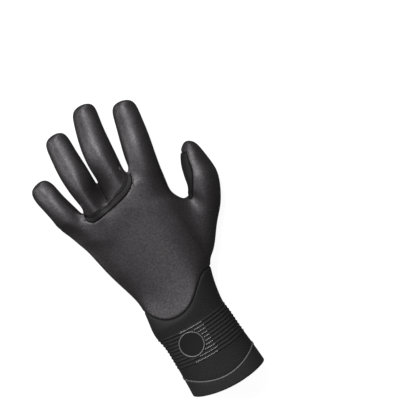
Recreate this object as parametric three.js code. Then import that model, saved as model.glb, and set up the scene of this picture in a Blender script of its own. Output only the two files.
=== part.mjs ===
import * as THREE from 'three';

// Left-hand neoprene diving glove lying on its palm
// Lengths in millimetres, +X to the thumb, +Y to the fingertips, +Z up from the back of the hand
// The origin is the middle of the flat face under the palm

// Main sizes of the hand
const HAND_LENGTH = 195;
const HAND_WIDTH = 110;
const PALM_DEPTH = 36;
const FINGER_WIDTH = 24;
const FINGER_DEPTH = 24;
const THUMB_DEPTH = 28;

// Main sizes of the cuff
const CUFF_LENGTH = 100;
const CUFF_DEPTH = 38;
const HEM_DEPTH = 19;

// Material and seams
const WALL = 3;
const SEAM_GAP = 0.3;
const TAPE_WIDTH = 6.5;
const TAPE_THICKNESS = 0.7;
const HEM_TAPE_BACK_WIDTH = 2.2;
const HEM_TAPE_PALM_WIDTH = 4.6;
const HEM_TAPE_THICKNESS = 0.9;

// Ribs and badge of the cuff
const RIB_COUNT = 10;
const RIB_PITCH = 3.35;
const RIB_HEIGHT = 0.4;
const BADGE_RADIUS = 11.8;
const BADGE_THICKNESS = 0.8;

// Rows of the palm from the wrist seam to the finger roots
// Sides in plan are shares of the hand width and length, height is a share of the palm depth,
// along blends from the wrist to the finger roots, inset draws the thumb-side corners in,
// full is how squarely the back fills out to the thumb side, drop is how far it falls to the little finger
const PALM_ROWS = [
  { leftX: -0.361, leftY: -0.154, rightX: 0.314, rightY: -0.123, along: 0 },
  { leftX: -0.39, leftY: -0.051, rightX: 0.413, rightY: -0.058, along: 0.22 },
  { leftX: -0.459, leftY: 0.077, rightX: 0.43, rightY: 0.085, along: 0.42 },
  { leftX: -0.51, leftY: 0.205, rightX: 0.402, rightY: 0.217, along: 0.62 },
  { leftX: -0.546, leftY: 0.267, rightX: 0.347, rightY: 0.266, along: 0.72 },
  { leftX: -0.58, leftY: 0.318, rightX: 0.344, rightY: 0.313, along: 0.82 },
  { leftX: -0.612, leftY: 0.359, rightX: 0.354, rightY: 0.356, along: 0.9 },
  { leftX: -0.624, leftY: 0.38, rightX: 0.36, rightY: 0.381, along: 0.95 },
  { leftX: -0.636, leftY: 0.4, rightX: 0.366, rightY: 0.405, along: 1 },
];
const PALM_SECTIONS = [
  { height: 1.04, inset: 0, full: 2.6, drop: 0 },
  { height: 0.98, inset: 0.03, full: 2.5, drop: 0.17 },
  { height: 0.95, inset: 0.03, full: 2.4, drop: 0.30 },
  { height: 0.95, inset: 0.018, full: 2.5, drop: 0.36 },
  { height: 0.96, inset: 0.004, full: 2.5, drop: 0.36 },
  { height: 0.96, inset: 0, full: 2.5, drop: 0.35 },
  { height: 0.945, inset: 0, full: 2.5, drop: 0.31 },
  { height: 0.945, inset: 0, full: 2.5, drop: 0.31 },
];
const CREST = 0.68;
const INSET_FADE = [0, 1, 0.75, 0.5, 0.3, 0.15];
const LITTLE_SIDE_FULL = 2.6;
const SIDE_HEIGHT = 0.45;
const FLAT_SHARE = 0.55;
const ROOT_BLEND = [1, 0.85, 0.35, 0.1];
const LAST_ROW = PALM_ROWS.length - 1;
const TAPE_ROW_INDEX = 5;
const THUMB_ROW_INDEX = 1;
// Share of the way from the roots to the tape at which the row between them lies
const ROW_AHEAD = 0.6;

// Fingers from the little finger to the index finger
// Root edges and tip in plan are shares of the hand width and length, bow and widths of the finger width,
// arch is how far the root stands off the table as a share of the finger depth,
// back is the way from the root to the knuckle tape as a share of the finger width
const FINGERS = [
  {
    leftX: -0.636, leftY: 0.400, rightX: -0.390, rightY: 0.384, tipX: -0.613, tipY: 0.623, bow: -0.02,
    arch: 0.10, rootWidth: 1.06, midWidth: 0.95, tipWidth: 0.95,
    backLeft: 0.28, backMiddle: 0.32, backRight: 0.24,
  },
  {
    leftX: -0.374, leftY: 0.389, rightX: -0.167, rightY: 0.480, tipX: -0.286, tipY: 0.787, bow: -0.06,
    arch: 0.24, rootWidth: 1.10, midWidth: 1.09, tipWidth: 0.97,
    backLeft: 0.37, backMiddle: 0.67, backRight: 0.87,
  },
  {
    leftX: -0.150, leftY: 0.480, rightX: 0.094, rightY: 0.451, tipX: 0.050, tipY: 0.843, bow: -0.11,
    arch: 0.36, rootWidth: 1.12, midWidth: 1.15, tipWidth: 1.00,
    backLeft: 0.87, backMiddle: 0.67, backRight: 0.34,
  },
  {
    leftX: 0.117, leftY: 0.451, rightX: 0.366, rightY: 0.405, tipX: 0.356, tipY: 0.766, bow: 0.02,
    arch: 0.34, rootWidth: 1.18, midWidth: 1.14, tipWidth: 1.01,
    backLeft: 0.22, backMiddle: 0.36, backRight: 0.46,
  },
];

// Rings along a finger: share of the straight part, share of the arch that is left, share of the depth
const FINGER_RINGS = [
  { along: 0.24, arch: 1.06, depth: 1.00 },
  { along: 0.52, arch: 0.80, depth: 0.97 },
  { along: 0.78, arch: 0.36, depth: 0.93 },
];
const TIP_LIFT = 0.02;
const TIP_DEPTH = 0.86;
// Last two rings before a fingertip, in shares of its radius
const SHOULDER = { back: 0.95, width: 0.985 };
const NAIL = { back: 0.27, width: 0.74 };

// Rings of the thumb from its root to its tip
// Inner and outer edges are shares of the hand width and length, depth and lift of the thumb depth,
// turn is how far the ring is rolled towards the index finger, in degrees
const THUMB_RINGS = [
  { innerX: 0.441, innerY: 0.221, outerX: 0.534, outerY: 0.031, depth: 0.84, lift: 0.02, turn: -4 },
  { innerX: 0.470, innerY: 0.242, outerX: 0.641, outerY: 0.103, depth: 0.92, lift: 0.04, turn: -2 },
  { innerX: 0.484, innerY: 0.267, outerX: 0.716, outerY: 0.178, depth: 0.96, lift: 0.06, turn: 5 },
  { innerX: 0.492, innerY: 0.297, outerX: 0.752, outerY: 0.239, depth: 0.94, lift: 0.07, turn: 15 },
  { innerX: 0.504, innerY: 0.328, outerX: 0.757, outerY: 0.288, depth: 0.88, lift: 0.06, turn: 22 },
  { innerX: 0.525, innerY: 0.366, outerX: 0.744, outerY: 0.354, depth: 0.82, lift: 0.04, turn: 23 },
  { innerX: 0.570, innerY: 0.412, outerX: 0.722, outerY: 0.414, depth: 0.62, lift: 0.09, turn: 22 },
];
const THUMB_TIP = { x: 0.650, y: 0.448, rise: 0.38 };

// Eight stations round a finger: little-finger side, back, thumb side, palm side
const RING = [
  { across: -1, up: 0 },
  { across: -0.73, up: 0.71 },
  { across: 0, up: 1 },
  { across: 0.73, up: 0.71 },
  { across: 1, up: 0 },
  { across: 0.64, up: -0.80 },
  { across: 0, up: -1 },
  { across: -0.64, up: -0.80 },
];

// Crease between the ring and middle fingers: its two sides at the roots and at the next ring
const CREASE = { across: 0.92, up: -0.05, nextAcross: 0.83, nextUp: 0.45 };
const besideCrease = (finger, station) => (
  (finger === 1 && station === 3) || (finger === 2 && station === 1));

// Wrist seam: it dips in a U on the back and in a shallow arc at the heel of the palm
const SEAM = { lowX: -0.127, lowY: -0.244, leftPower: 2.3, rightPower: 1.3, rightEnd: 0.285 };
const HEEL_LOW = -0.180;

// Rings of the cuff: distance from the origin as a share of the hand length plus a share of the cuff length
// The cuff is lifted a little so that its hem tape does not stand lower than the palm
const CUFF_START = -0.154;
const CUFF_LIFT = 1.6;
const CUFF_ROWS = [
  { along: 0.22, leftX: -0.382, rightX: 0.260, height: 1.00 },
  { along: 0.36, leftX: -0.360, rightX: 0.264, height: 0.97 },
  { along: 0.52, leftX: -0.351, rightX: 0.275, height: 0.97 },
  { along: 0.68, leftX: -0.350, rightX: 0.291, height: 0.98 },
  { along: 0.84, leftX: -0.352, rightX: 0.306, height: 1.00 },
  { along: 1.00, leftX: -0.355, rightX: 0.316, height: 1.02 },
  { along: 1.16, leftX: -0.359, rightX: 0.321, height: 1.04 },
];
const RIB_START = 0.32;
const RIB_BOW = 0.022;
const HEM_SIDES = { left: 0.90, right: 0.935 };
const HEM_BULGE = 0.045;
const HEM_SEAM_DIP = 0.58;
const BADGE = { x: -0.136, along: 0.455 };

const TOP_COUNT = 12;
const COLUMNS = 2 * TOP_COUNT + 2;
const RIGHT = TOP_COUNT;
const LEFT = COLUMNS - 1;

const lerp = (a, b, t) => a + (b - a) * t;
const plan = (x, y) => [x * HAND_WIDTH, y * HAND_LENGTH];
const add = (a, b, s = 1) => a.map((v, k) => v + s * b[k]);
const sub = (a, b) => a.map((v, k) => v - b[k]);
const cross = (a, b) => [a[1] * b[2] - a[2] * b[1], a[2] * b[0] - a[0] * b[2], a[0] * b[1] - a[1] * b[0]];
const dot = (a, b) => a[0] * b[0] + a[1] * b[1] + a[2] * b[2];
const unit = (a) => {
  const length = Math.hypot(...a) || 1;
  return a.map((v) => v / length);
};

// A ring of eight points round a finger, rolled by a turn in degrees
function ringPoint(station, left, right, bottom, depth, turn = 0, place = RING[station]) {
  const { across, up } = place;
  const roll = THREE.MathUtils.degToRad(turn);
  const a = across * Math.cos(roll) + up * Math.sin(roll);
  const u = up * Math.cos(roll) - across * Math.sin(roll);
  return [
    lerp(left[0], right[0], (1 + a) / 2),
    lerp(left[1], right[1], (1 + a) / 2),
    bottom + depth * (1 + u) / 2,
  ];
}

// Root ring of a finger, whose corners beside the crease sit closer and lower
function rootPoint(finger, station) {
  const f = FINGERS[finger];
  const left = plan(f.leftX, f.leftY);
  const right = plan(f.rightX, f.rightY);
  const side = station === 3 ? 1 : -1;
  const usual = RING[station];
  const place = besideCrease(finger, station) ? { across: side * CREASE.across, up: CREASE.up } : usual;
  return ringPoint(station, left, right, f.arch * FINGER_DEPTH, FINGER_DEPTH, 0, place);
}

// Which finger and station a palm column runs into
function columnTarget(column) {
  if (column === RIGHT) {
    return { finger: 3, station: 4 };
  }
  if (column === LEFT) {
    return { finger: 0, station: 0 };
  }
  const top = column < RIGHT;
  const index = top ? column : LEFT - 1 - column;
  const place = index % 3;
  return { finger: (index - place) / 3, station: top ? 1 + place : 7 - place };
}

// Height of the wrist seam line at a place across the hand
function seamLine(x, top) {
  const left = plan(PALM_ROWS[0].leftX, PALM_ROWS[0].leftY);
  const right = plan(PALM_ROWS[0].rightX, PALM_ROWS[0].rightY);
  const middle = (left[0] + right[0]) / 2;
  if (!top) {
    const reach = Math.min(1, Math.abs(x - middle) / (right[0] - middle));
    const side = x < middle ? left[1] : right[1];
    return lerp(HEEL_LOW * HAND_LENGTH, side, reach ** 2);
  }
  const [lowX, lowY] = plan(SEAM.lowX, SEAM.lowY);
  if (x < lowX) {
    const reach = Math.min(1, (lowX - x) / (lowX - left[0]));
    return lerp(lowY, left[1], reach ** SEAM.leftPower);
  }
  const reach = Math.min(1, (x - lowX) / (SEAM.rightEnd * HAND_WIDTH - lowX));
  return lerp(lowY, right[1], (1 - Math.cos(Math.PI * reach ** SEAM.rightPower)) / 2);
}

// Even stations round an oval section
function ovalStation(column) {
  if (column === RIGHT || column === LEFT) {
    return { share: column === RIGHT ? 1 : 0, rise: 0 };
  }
  const top = column < RIGHT;
  const index = top ? column : LEFT - 1 - column;
  const angle = Math.PI * (index + 1) / (TOP_COUNT + 1);
  return { share: (1 - Math.cos(angle)) / 2, rise: (top ? 1 : -1) * Math.sin(angle) };
}

function ovalHeight(rise, height) {
  const side = SIDE_HEIGHT * height;
  if (rise >= 0) {
    return side + (height - side) * rise ** 0.85;
  }
  return side * (1 - Math.min(1, (-rise) ** 0.55 * 1.06));
}

function wristPlan(column) {
  const left = plan(PALM_ROWS[0].leftX, PALM_ROWS[0].leftY);
  const right = plan(PALM_ROWS[0].rightX, PALM_ROWS[0].rightY);
  if (column === RIGHT) {
    return right;
  }
  if (column === LEFT) {
    return left;
  }
  const x = lerp(left[0], right[0], ovalStation(column).share);
  return [x, seamLine(x, column < RIGHT)];
}

// Height over the table at a place across a palm row: even ovals at the wrist, fuller ones beyond it
function palmHeight(row, column, across) {
  const r = PALM_SECTIONS[row];
  const side = SIDE_HEIGHT * r.height * PALM_DEPTH;
  if (column === RIGHT || column === LEFT) {
    return side;
  }
  const fall = column < RIGHT ? r.drop * Math.max(0, 1 - across / CREST) ** 1.3 : 0;
  const height = r.height * PALM_DEPTH * (1 - fall);
  const even = ovalHeight(ovalStation(column).rise, height);
  const edge = Math.min(1, Math.abs(2 * across - 1));
  const power = across > 0.5 ? r.full : LITTLE_SIDE_FULL;
  let full = side + (height - side) * (1 - edge ** power) ** 0.45;
  if (column > RIGHT) {
    full = edge < FLAT_SHARE ? 0 : side * (1 - Math.sqrt(1 - edge ** (3 * power)));
  }
  return lerp(even, full, Math.min(1, 2.2 * PALM_ROWS[row].along));
}

// A point of the palm grid
function palmPoint(row, column) {
  const r = PALM_ROWS[row];
  const { finger, station } = columnTarget(column);
  const root = rootPoint(finger, station);
  if (row === LAST_ROW) {
    return root;
  }
  const first = PALM_ROWS[0];
  const last = PALM_ROWS[LAST_ROW];
  const rootShare = (root[0] / HAND_WIDTH - last.leftX) / (last.rightX - last.leftX);
  const share = lerp(ovalStation(column).share, rootShare, Math.min(1, 2.5 * r.along));
  const leftRise = r.leftY - lerp(first.leftY, last.leftY, r.along);
  const rightRise = r.rightY - lerp(first.rightY, last.rightY, r.along);
  const inset = PALM_SECTIONS[row].inset * (INSET_FADE[Math.abs(column - RIGHT)] || 0);
  const x = (lerp(r.leftX, r.rightX, share) - inset) * HAND_WIDTH;
  let y = lerp(wristPlan(column)[1], root[1], r.along) + lerp(leftRise, rightRise, share) * HAND_LENGTH;
  if (column < RIGHT && row >= TAPE_ROW_INDEX) {
    const f = FINGERS[finger];
    const back = [f.backLeft, f.backMiddle, f.backRight][station - 1] * FINGER_WIDTH;
    const reach = row > TAPE_ROW_INDEX + 1 ? ROW_AHEAD * back : back;
    y = root[1] - reach - (row === TAPE_ROW_INDEX ? TAPE_WIDTH : 0);
  }
  const across = (x / HAND_WIDTH - r.leftX) / (r.rightX - r.leftX);
  const z = palmHeight(row, column, across);
  return [x, y, lerp(z, root[2], ROOT_BLEND[LAST_ROW - row] || 0)];
}

function cuffY(along) {
  return CUFF_START * HAND_LENGTH - along * CUFF_LENGTH;
}

function cuffPoint(row, column) {
  const r = CUFF_ROWS[row];
  const { share, rise } = ovalStation(column);
  const x = lerp(r.leftX, r.rightX, share) * HAND_WIDTH;
  return [x, cuffY(r.along), CUFF_LIFT + ovalHeight(rise, r.height * CUFF_DEPTH - CUFF_LIFT)];
}

// The control mesh of the whole glove: quads with the panel they belong to
const points = [];
const quads = [];
const vertex = (p) => points.push(p) - 1;
const quad = (ids, where) => quads.push({ ids, ...where });

// Palm and cuff grids
const palm = PALM_ROWS.map((_, row) => Array.from({ length: COLUMNS }, (_, column) => {
  const hidden = column === RIGHT && row === THUMB_ROW_INDEX + 1;
  return hidden ? -1 : vertex(palmPoint(row, column));
}));
const cuffGrid = CUFF_ROWS.map((_, row) => Array.from({ length: COLUMNS }, (_, column) => (
  vertex(cuffPoint(row, column)))));
for (let row = 0; row < LAST_ROW; row += 1) {
  for (let column = 0; column < COLUMNS; column += 1) {
    const next = (column + 1) % COLUMNS;
    const ids = [palm[row][column], palm[row][next], palm[row + 1][next], palm[row + 1][column]];
    if (!ids.includes(-1)) {
      quad(ids, { kind: 'palm', row, column });
    }
  }
}
[palm[0], ...cuffGrid].forEach((upper, row, rows) => {
  const lower = rows[row + 1];
  if (lower) {
    upper.forEach((_, column) => {
      const next = (column + 1) % COLUMNS;
      quad([lower[column], lower[next], upper[next], upper[column]], { kind: 'cuff', row, column });
    });
  }
});

// A tube of rings closed by a tip
function tube(rings, tip, where) {
  for (let ring = 0; ring + 1 < rings.length; ring += 1) {
    for (let station = 0; station < 8; station += 1) {
      const next = (station + 1) % 8;
      const [low, high] = [rings[ring], rings[ring + 1]];
      quad([low[station], low[next], high[next], high[station]], { ...where, ring, station });
    }
  }
  const last = rings[rings.length - 1];
  for (let station = 0; station < 8; station += 2) {
    const ids = [last[station], last[station + 1], last[(station + 2) % 8], tip];
    quad(ids, { ...where, ring: rings.length, station });
  }
}

// Fingers
const fan = palm[LAST_ROW];
const fingerRoots = FINGERS.map((_, k) => RING.map((_, station) => {
  if (station === 0) {
    return k === 0 ? fan[LEFT] : vertex(rootPoint(k, 0));
  }
  if (station === 4) {
    return k === 3 ? fan[RIGHT] : vertex(rootPoint(k, 4));
  }
  return station < 4 ? fan[3 * k + station - 1] : fan[LEFT - 1 - (3 * k + 7 - station)];
}));
FINGERS.forEach((f, k) => {
  const root = add(plan(f.leftX, f.leftY), plan(f.rightX, f.rightY)).map((v) => v / 2);
  const tip = plan(f.tipX, f.tipY);
  const length = Math.hypot(...sub(tip, root));
  const ahead = sub(tip, root).map((v) => v / length);
  const side = [ahead[1], -ahead[0]];
  const radius = f.tipWidth * FINGER_WIDTH / 2;
  const straight = length - SHOULDER.back * radius;
  const skew = sub(plan(f.rightX, f.rightY), plan(f.leftX, f.leftY));
  const lean = dot([...skew, 0], [...ahead, 0]) / Math.hypot(...skew);
  const ringAt = (distance, half, bottom, depth, creased = false) => {
    const s = distance / length;
    const centre = add(add(root, ahead, distance), side, f.bow * FINGER_WIDTH * Math.sin(Math.PI * s));
    const tilt = lean * Math.max(0, 1 - 2.2 * s);
    const across = add(side.map((v) => v * Math.sqrt(1 - tilt * tilt)), ahead, tilt);
    const left = add(centre, across, -half);
    const right = add(centre, across, half);
    return RING.map((usual, station) => {
      const sided = station === 3 ? 1 : -1;
      const place = creased && besideCrease(k, station)
        ? { across: sided * CREASE.nextAcross, up: CREASE.nextUp } : usual;
      return vertex(ringPoint(station, left, right, bottom, depth, 0, place));
    });
  };
  const rings = [fingerRoots[k]];
  FINGER_RINGS.forEach((ring, index) => {
    const t = ring.along;
    const width = t < 0.5 ? lerp(f.rootWidth, f.midWidth, 2 * t) : lerp(f.midWidth, f.tipWidth, 2 * t - 1);
    const half = width * FINGER_WIDTH / 2;
    const bottom = (TIP_LIFT + ring.arch * f.arch) * FINGER_DEPTH;
    rings.push(ringAt(t * straight, half, bottom, ring.depth * FINGER_DEPTH, index === 0));
  });
  const tipDepth = TIP_DEPTH * FINGER_DEPTH;
  const centreZ = TIP_LIFT * FINGER_DEPTH + tipDepth / 2;
  [SHOULDER, NAIL].forEach(({ back, width }) => {
    const bottom = centreZ - width * tipDepth / 2;
    rings.push(ringAt(length - back * radius, width * radius, bottom, width * tipDepth));
  });
  tube(rings, vertex([...tip, centreZ]), { kind: 'finger', finger: k });
});

// Webs between the fingers
for (let k = 0; k < 3; k += 1) {
  const here = fingerRoots[k];
  const next = fingerRoots[k + 1];
  quad([here[3], next[1], next[0], here[4]], { kind: 'web', web: k });
  quad([here[4], next[0], next[7], here[5]], { kind: 'web', web: k });
}

// Thumb
const thumbRoot = [
  palm[THUMB_ROW_INDEX + 2][RIGHT], palm[THUMB_ROW_INDEX + 2][RIGHT - 1],
  palm[THUMB_ROW_INDEX + 1][RIGHT - 1], palm[THUMB_ROW_INDEX][RIGHT - 1],
  palm[THUMB_ROW_INDEX][RIGHT], palm[THUMB_ROW_INDEX][RIGHT + 1],
  palm[THUMB_ROW_INDEX + 1][RIGHT + 1], palm[THUMB_ROW_INDEX + 2][RIGHT + 1],
];
const thumbRings = THUMB_RINGS.map((t) => {
  const inner = plan(t.innerX, t.innerY);
  const outside = plan(t.outerX, t.outerY);
  const [bottom, depth] = [t.lift * THUMB_DEPTH, t.depth * THUMB_DEPTH];
  return RING.map((_, station) => vertex(ringPoint(station, inner, outside, bottom, depth, t.turn)));
});
const thumbTip = vertex([...plan(THUMB_TIP.x, THUMB_TIP.y), THUMB_TIP.rise * THUMB_DEPTH]);
tube([thumbRoot, ...thumbRings], thumbTip, { kind: 'thumb' });

// Smooth surface of a quad mesh
function neighbours(count, faces) {
  const rings = Array.from({ length: count }, () => ({ n: 0, edges: new Map(), corners: [] }));
  faces.forEach((ids) => {
    ids.forEach((id, k) => {
      const ring = rings[id];
      ring.n += 1;
      ring.corners.push(ids[(k + 2) % 4]);
      [ids[(k + 1) % 4], ids[(k + 3) % 4]].forEach((other) => {
        ring.edges.set(other, (ring.edges.get(other) || 0) + 1);
      });
    });
  });
  rings.forEach((ring) => {
    ring.inside = [...ring.edges.values()].every((uses) => uses === 2);
  });
  return rings;
}

function limitPoint(id, at, rings) {
  const { n, edges, corners, inside } = rings[id];
  if (!inside) {
    return at[id];
  }
  const sum = at[id].map((v) => v * n * n);
  [...edges.keys()].forEach((other) => at[other].forEach((v, k) => {
    sum[k] += 4 * v;
  }));
  corners.forEach((other) => at[other].forEach((v, k) => {
    sum[k] += v;
  }));
  return sum.map((v) => v / (n * (n + 5)));
}

// The control points are moved until the smooth surface runs through the wanted points
// Those left loose, in the narrow crotches, stay where they are so that the surface does not fold there
function fit(wanted, faces, loose, rounds) {
  const rings = neighbours(wanted.length, faces);
  let cage = wanted.map((p) => [...p]);
  for (let round = 0; round < rounds; round += 1) {
    const reached = cage.map((_, id) => limitPoint(id, cage, rings));
    cage = cage.map((p, id) => (loose.has(id) ? p : add(p, sub(wanted[id], reached[id]))));
  }
  return cage;
}

// One round of splitting each quad into four
function refine(cage, faces) {
  const at = cage.map((p) => [...p]);
  const edges = new Map();
  const key = (a, b) => (a < b ? `${a},${b}` : `${b},${a}`);
  const middles = faces.map((ids) => {
    const middle = [0, 1, 2].map((k) => ids.reduce((s, id) => s + cage[id][k], 0) / 4);
    ids.forEach((a, k) => {
      const b = ids[(k + 1) % 4];
      const edge = edges.get(key(a, b)) || { a, b, sum: [0, 0, 0], uses: 0 };
      edge.sum = add(edge.sum, middle);
      edge.uses += 1;
      edges.set(key(a, b), edge);
    });
    return middle;
  });
  const out = [];
  const put = (p) => out.push(p) - 1;
  const rings = neighbours(at.length, faces);
  const around = at.map(() => [0, 0, 0]);
  faces.forEach((ids, f) => ids.forEach((id) => {
    around[id] = add(around[id], middles[f]);
  }));
  at.forEach((p, id) => {
    const { n, edges: spokes, inside } = rings[id];
    if (!inside) {
      put(p);
      return;
    }
    const mids = [...spokes.keys()].reduce((s, other) => add(s, add(p, at[other]), 0.5), [0, 0, 0]);
    put(p.map((v, k) => (around[id][k] / n + 2 * mids[k] / n + (n - 3) * v) / n));
  });
  edges.forEach((edge) => {
    const ends = add(cage[edge.a], cage[edge.b]);
    edge.id = put(edge.uses === 2 ? add(ends, edge.sum).map((v) => v / 4) : ends.map((v) => v / 2));
  });
  const fine = [];
  faces.forEach((ids, f) => {
    const centre = put(middles[f]);
    ids.forEach((id, k) => {
      const after = edges.get(key(id, ids[(k + 1) % 4])).id;
      const before = edges.get(key(id, ids[(k + 3) % 4])).id;
      const order = [id, after, centre, before];
      fine.push({ ids: [0, 1, 2, 3].map((s) => order[(s + 4 - k) % 4]), from: f, corner: k });
    });
  });
  return { at: out, fine };
}

const inWebs = new Set(quads.filter((q) => q.kind === 'web').flatMap((q) => q.ids));
const cage = fit(points, quads.map((q) => q.ids), inWebs, 8);
const { at: finePoints, fine } = refine(cage, quads.map((q) => q.ids));
const fineRings = neighbours(finePoints.length, fine.map((q) => q.ids));
const outer = finePoints.map((_, id) => {
  const [x, y, z] = limitPoint(id, finePoints, fineRings);
  return [x, y, Math.max(0, z)];
});
const normals = outer.map(() => [0, 0, 0]);
fine.forEach(({ ids }) => {
  const normal = cross(sub(outer[ids[2]], outer[ids[0]]), sub(outer[ids[3]], outer[ids[1]]));
  ids.forEach((id) => {
    normals[id] = add(normals[id], normal);
  });
});
normals.forEach((n, id) => {
  normals[id] = unit(n);
});

// The inside of the wall follows softened directions so that it does not fold at tight corners
let inward = normals;
for (let pass = 0; pass < 2; pass += 1) {
  inward = inward.map((n, id) => {
    const spokes = [...fineRings[id].edges.keys()];
    const mean = spokes.reduce((s, other) => add(s, inward[other], 1 / spokes.length), [0, 0, 0]);
    return unit(add(n, mean));
  });
}

// Whether a small quad of the palm grid lies over the ring and middle fingers
function overMiddleFingers({ from, corner }) {
  const { column } = quads[from];
  const rightHalf = corner === 1 || corner === 2;
  return (column > 2 && column < 8) || (column === 2 && rightHalf) || (column === 8 && !rightHalf);
}

// Which panel a small quad belongs to
function panelOf(small) {
  const q = quads[small.from];
  if (q.kind === 'cuff') {
    return 'cuff';
  }
  if (q.kind === 'palm') {
    const under = q.column > RIGHT && q.column < LEFT - 1;
    if (under) {
      return 'palm_panel';
    }
    const beyondSeam = q.row > TAPE_ROW_INDEX || (q.row === TAPE_ROW_INDEX && small.corner >= 2);
    return beyondSeam && overMiddleFingers(small) ? 'finger_back_panel' : 'back_panel';
  }
  if (q.kind === 'web') {
    return q.web === 1 ? 'finger_back_panel' : 'back_panel';
  }
  if (q.kind === 'thumb') {
    const palmar = q.station > 4 || (q.station === 0 && q.ring > 0);
    return q.ring < THUMB_RINGS.length && palmar ? 'palm_panel' : 'back_panel';
  }
  const palmar = q.station === 5 || q.station === 6;
  if (q.ring < FINGER_RINGS.length + 1 && palmar) {
    return 'palm_panel';
  }
  return q.finger === 1 || q.finger === 2 ? 'finger_back_panel' : 'back_panel';
}

// The knuckle tape covers its own row, and its ends turn up towards the two outer crotches
function inTape(small) {
  const { kind, row, column } = quads[small.from];
  const atEnd = row === TAPE_ROW_INDEX + 1 && (column === 2 || column === 8);
  return kind === 'palm' && (row === TAPE_ROW_INDEX || atEnd) && overMiddleFingers(small);
}

// A closed solid from quads with a point on each of its two faces
function solid(name, faces, over, under, colour) {
  const ids = new Map();
  const position = [];
  const index = [];
  const id = (v, face) => {
    const label = `${v}:${face}`;
    if (!ids.has(label)) {
      ids.set(label, position.length / 3);
      position.push(...(face ? under(v) : over(v)));
    }
    return ids.get(label);
  };
  const four = (a, b, c, d) => index.push(a, b, c, a, c, d);
  const used = new Set();
  faces.forEach((f) => f.forEach((a, k) => used.add(`${a}>${f[(k + 1) % 4]}`)));
  faces.forEach(([a, b, c, d]) => {
    four(id(a, 0), id(b, 0), id(c, 0), id(d, 0));
    four(id(d, 1), id(c, 1), id(b, 1), id(a, 1));
  });
  faces.forEach((f) => f.forEach((a, k) => {
    const b = f[(k + 1) % 4];
    if (used.has(`${b}>${a}`)) {
      return;
    }
    // Both panels of a seam split its wall along the same diagonal
    if (a < b) {
      four(id(a, 0), id(a, 1), id(b, 1), id(b, 0));
    } else {
      four(id(b, 0), id(a, 0), id(a, 1), id(b, 1));
    }
  }));
  return body(name, position, index, colour);
}

function body(name, position, index, colour) {
  const geometry = new THREE.BufferGeometry();
  geometry.setAttribute('position', new THREE.Float32BufferAttribute(position, 3));
  geometry.setIndex(index);
  geometry.computeVertexNormals();
  const mesh = new THREE.Mesh(geometry, new THREE.MeshStandardMaterial({ color: colour, roughness: 0.8 }));
  mesh.name = name;
  return mesh;
}

// Edge points of a panel are drawn back so that neighbouring panels stay clear of each other
function drawnBack(faces, distance) {
  const used = new Set();
  faces.forEach((f) => f.forEach((a, k) => used.add(`${a}>${f[(k + 1) % 4]}`)));
  const pull = new Map();
  faces.forEach((f) => f.forEach((a, k) => {
    const b = f[(k + 1) % 4];
    if (!used.has(`${b}>${a}`)) {
      [a, b].forEach((v) => {
        const away = unit(cross(normals[v], sub(outer[b], outer[a])));
        pull.set(v, [...(pull.get(v) || []), away]);
      });
    }
  }));
  const shift = new Map();
  pull.forEach((list, v) => {
    const mean = unit(list.reduce((s, p) => add(s, p), [0, 0, 0]));
    const turned = Math.max(0.5, dot(mean, list[0]));
    shift.set(v, mean.map((c) => c * distance / turned));
  });
  return shift;
}

function panel(name, colour) {
  const faces = fine.filter((q) => panelOf(q) === name).map((q) => q.ids);
  const shift = drawnBack(faces, SEAM_GAP / 2);
  const at = (v, depth) => add(add(outer[v], inward[v], -depth), shift.get(v) || [0, 0, 0]);
  return solid(name, faces, (v) => at(v, 0), (v) => at(v, WALL), colour);
}

function knuckleTape(colour) {
  const faces = fine.filter(inTape).map((q) => q.ids);
  const under = 2 * SEAM_GAP;
  const at = (v, rise) => add(outer[v], normals[v], rise);
  return solid('knuckle_tape', faces, (v) => at(v, under + TAPE_THICKNESS), (v) => at(v, under), colour);
}

// Point of the smooth cuff: column runs round it, down is 0 at the wrist seam and counts cuff rows
const cuffCage = [palm[1], palm[0], ...cuffGrid].map((row) => row.map((id) => cage[id]));
const basis = (t) => [(1 - t) ** 3 / 6, (3 * t ** 3 - 6 * t ** 2 + 4) / 6,
  (-3 * t ** 3 + 3 * t ** 2 + 3 * t + 1) / 6, t ** 3 / 6];
function cuffSurface(column, down) {
  const row = Math.min(Math.floor(down), CUFF_ROWS.length - 2);
  const first = Math.floor(column);
  const bu = basis(column - first);
  const bv = basis(down - row);
  let p = [0, 0, 0];
  for (let i = 0; i < 4; i += 1) {
    for (let j = 0; j < 4; j += 1) {
      const around = (first + j - 1 + COLUMNS) % COLUMNS;
      p = add(p, cuffCage[row + i][around], bv[i] * bu[j]);
    }
  }
  return p;
}

// The same point found from its distance along the cuff
function cuffAt(column, y) {
  let low = 0;
  let high = CUFF_ROWS.length - 1.001;
  for (let step = 0; step < 24; step += 1) {
    const middle = (low + high) / 2;
    if (cuffSurface(column, middle)[1] > y) {
      low = middle;
    } else {
      high = middle;
    }
  }
  return low;
}

function cuffNormal(column, down) {
  const step = 0.02;
  const after = cuffSurface((column + step) % COLUMNS, down);
  const before = cuffSurface((column - step + COLUMNS) % COLUMNS, down);
  const up = cuffSurface(column, Math.max(0, down - step));
  const below = cuffSurface(column, down + step);
  return unit(cross(sub(after, before), sub(up, below)));
}

// How far round the cuff: 1 on the middle of a face and 0 at the sides
const facing = (column) => Math.sin(Math.PI * (column + 1) / (TOP_COUNT + 1)) ** 2;

// How far across from the little-finger side: 0 to 1
const acrossCuff = (column) => (1 - Math.cos(Math.PI * (column + 1) / (TOP_COUNT + 1))) / 2;

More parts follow.
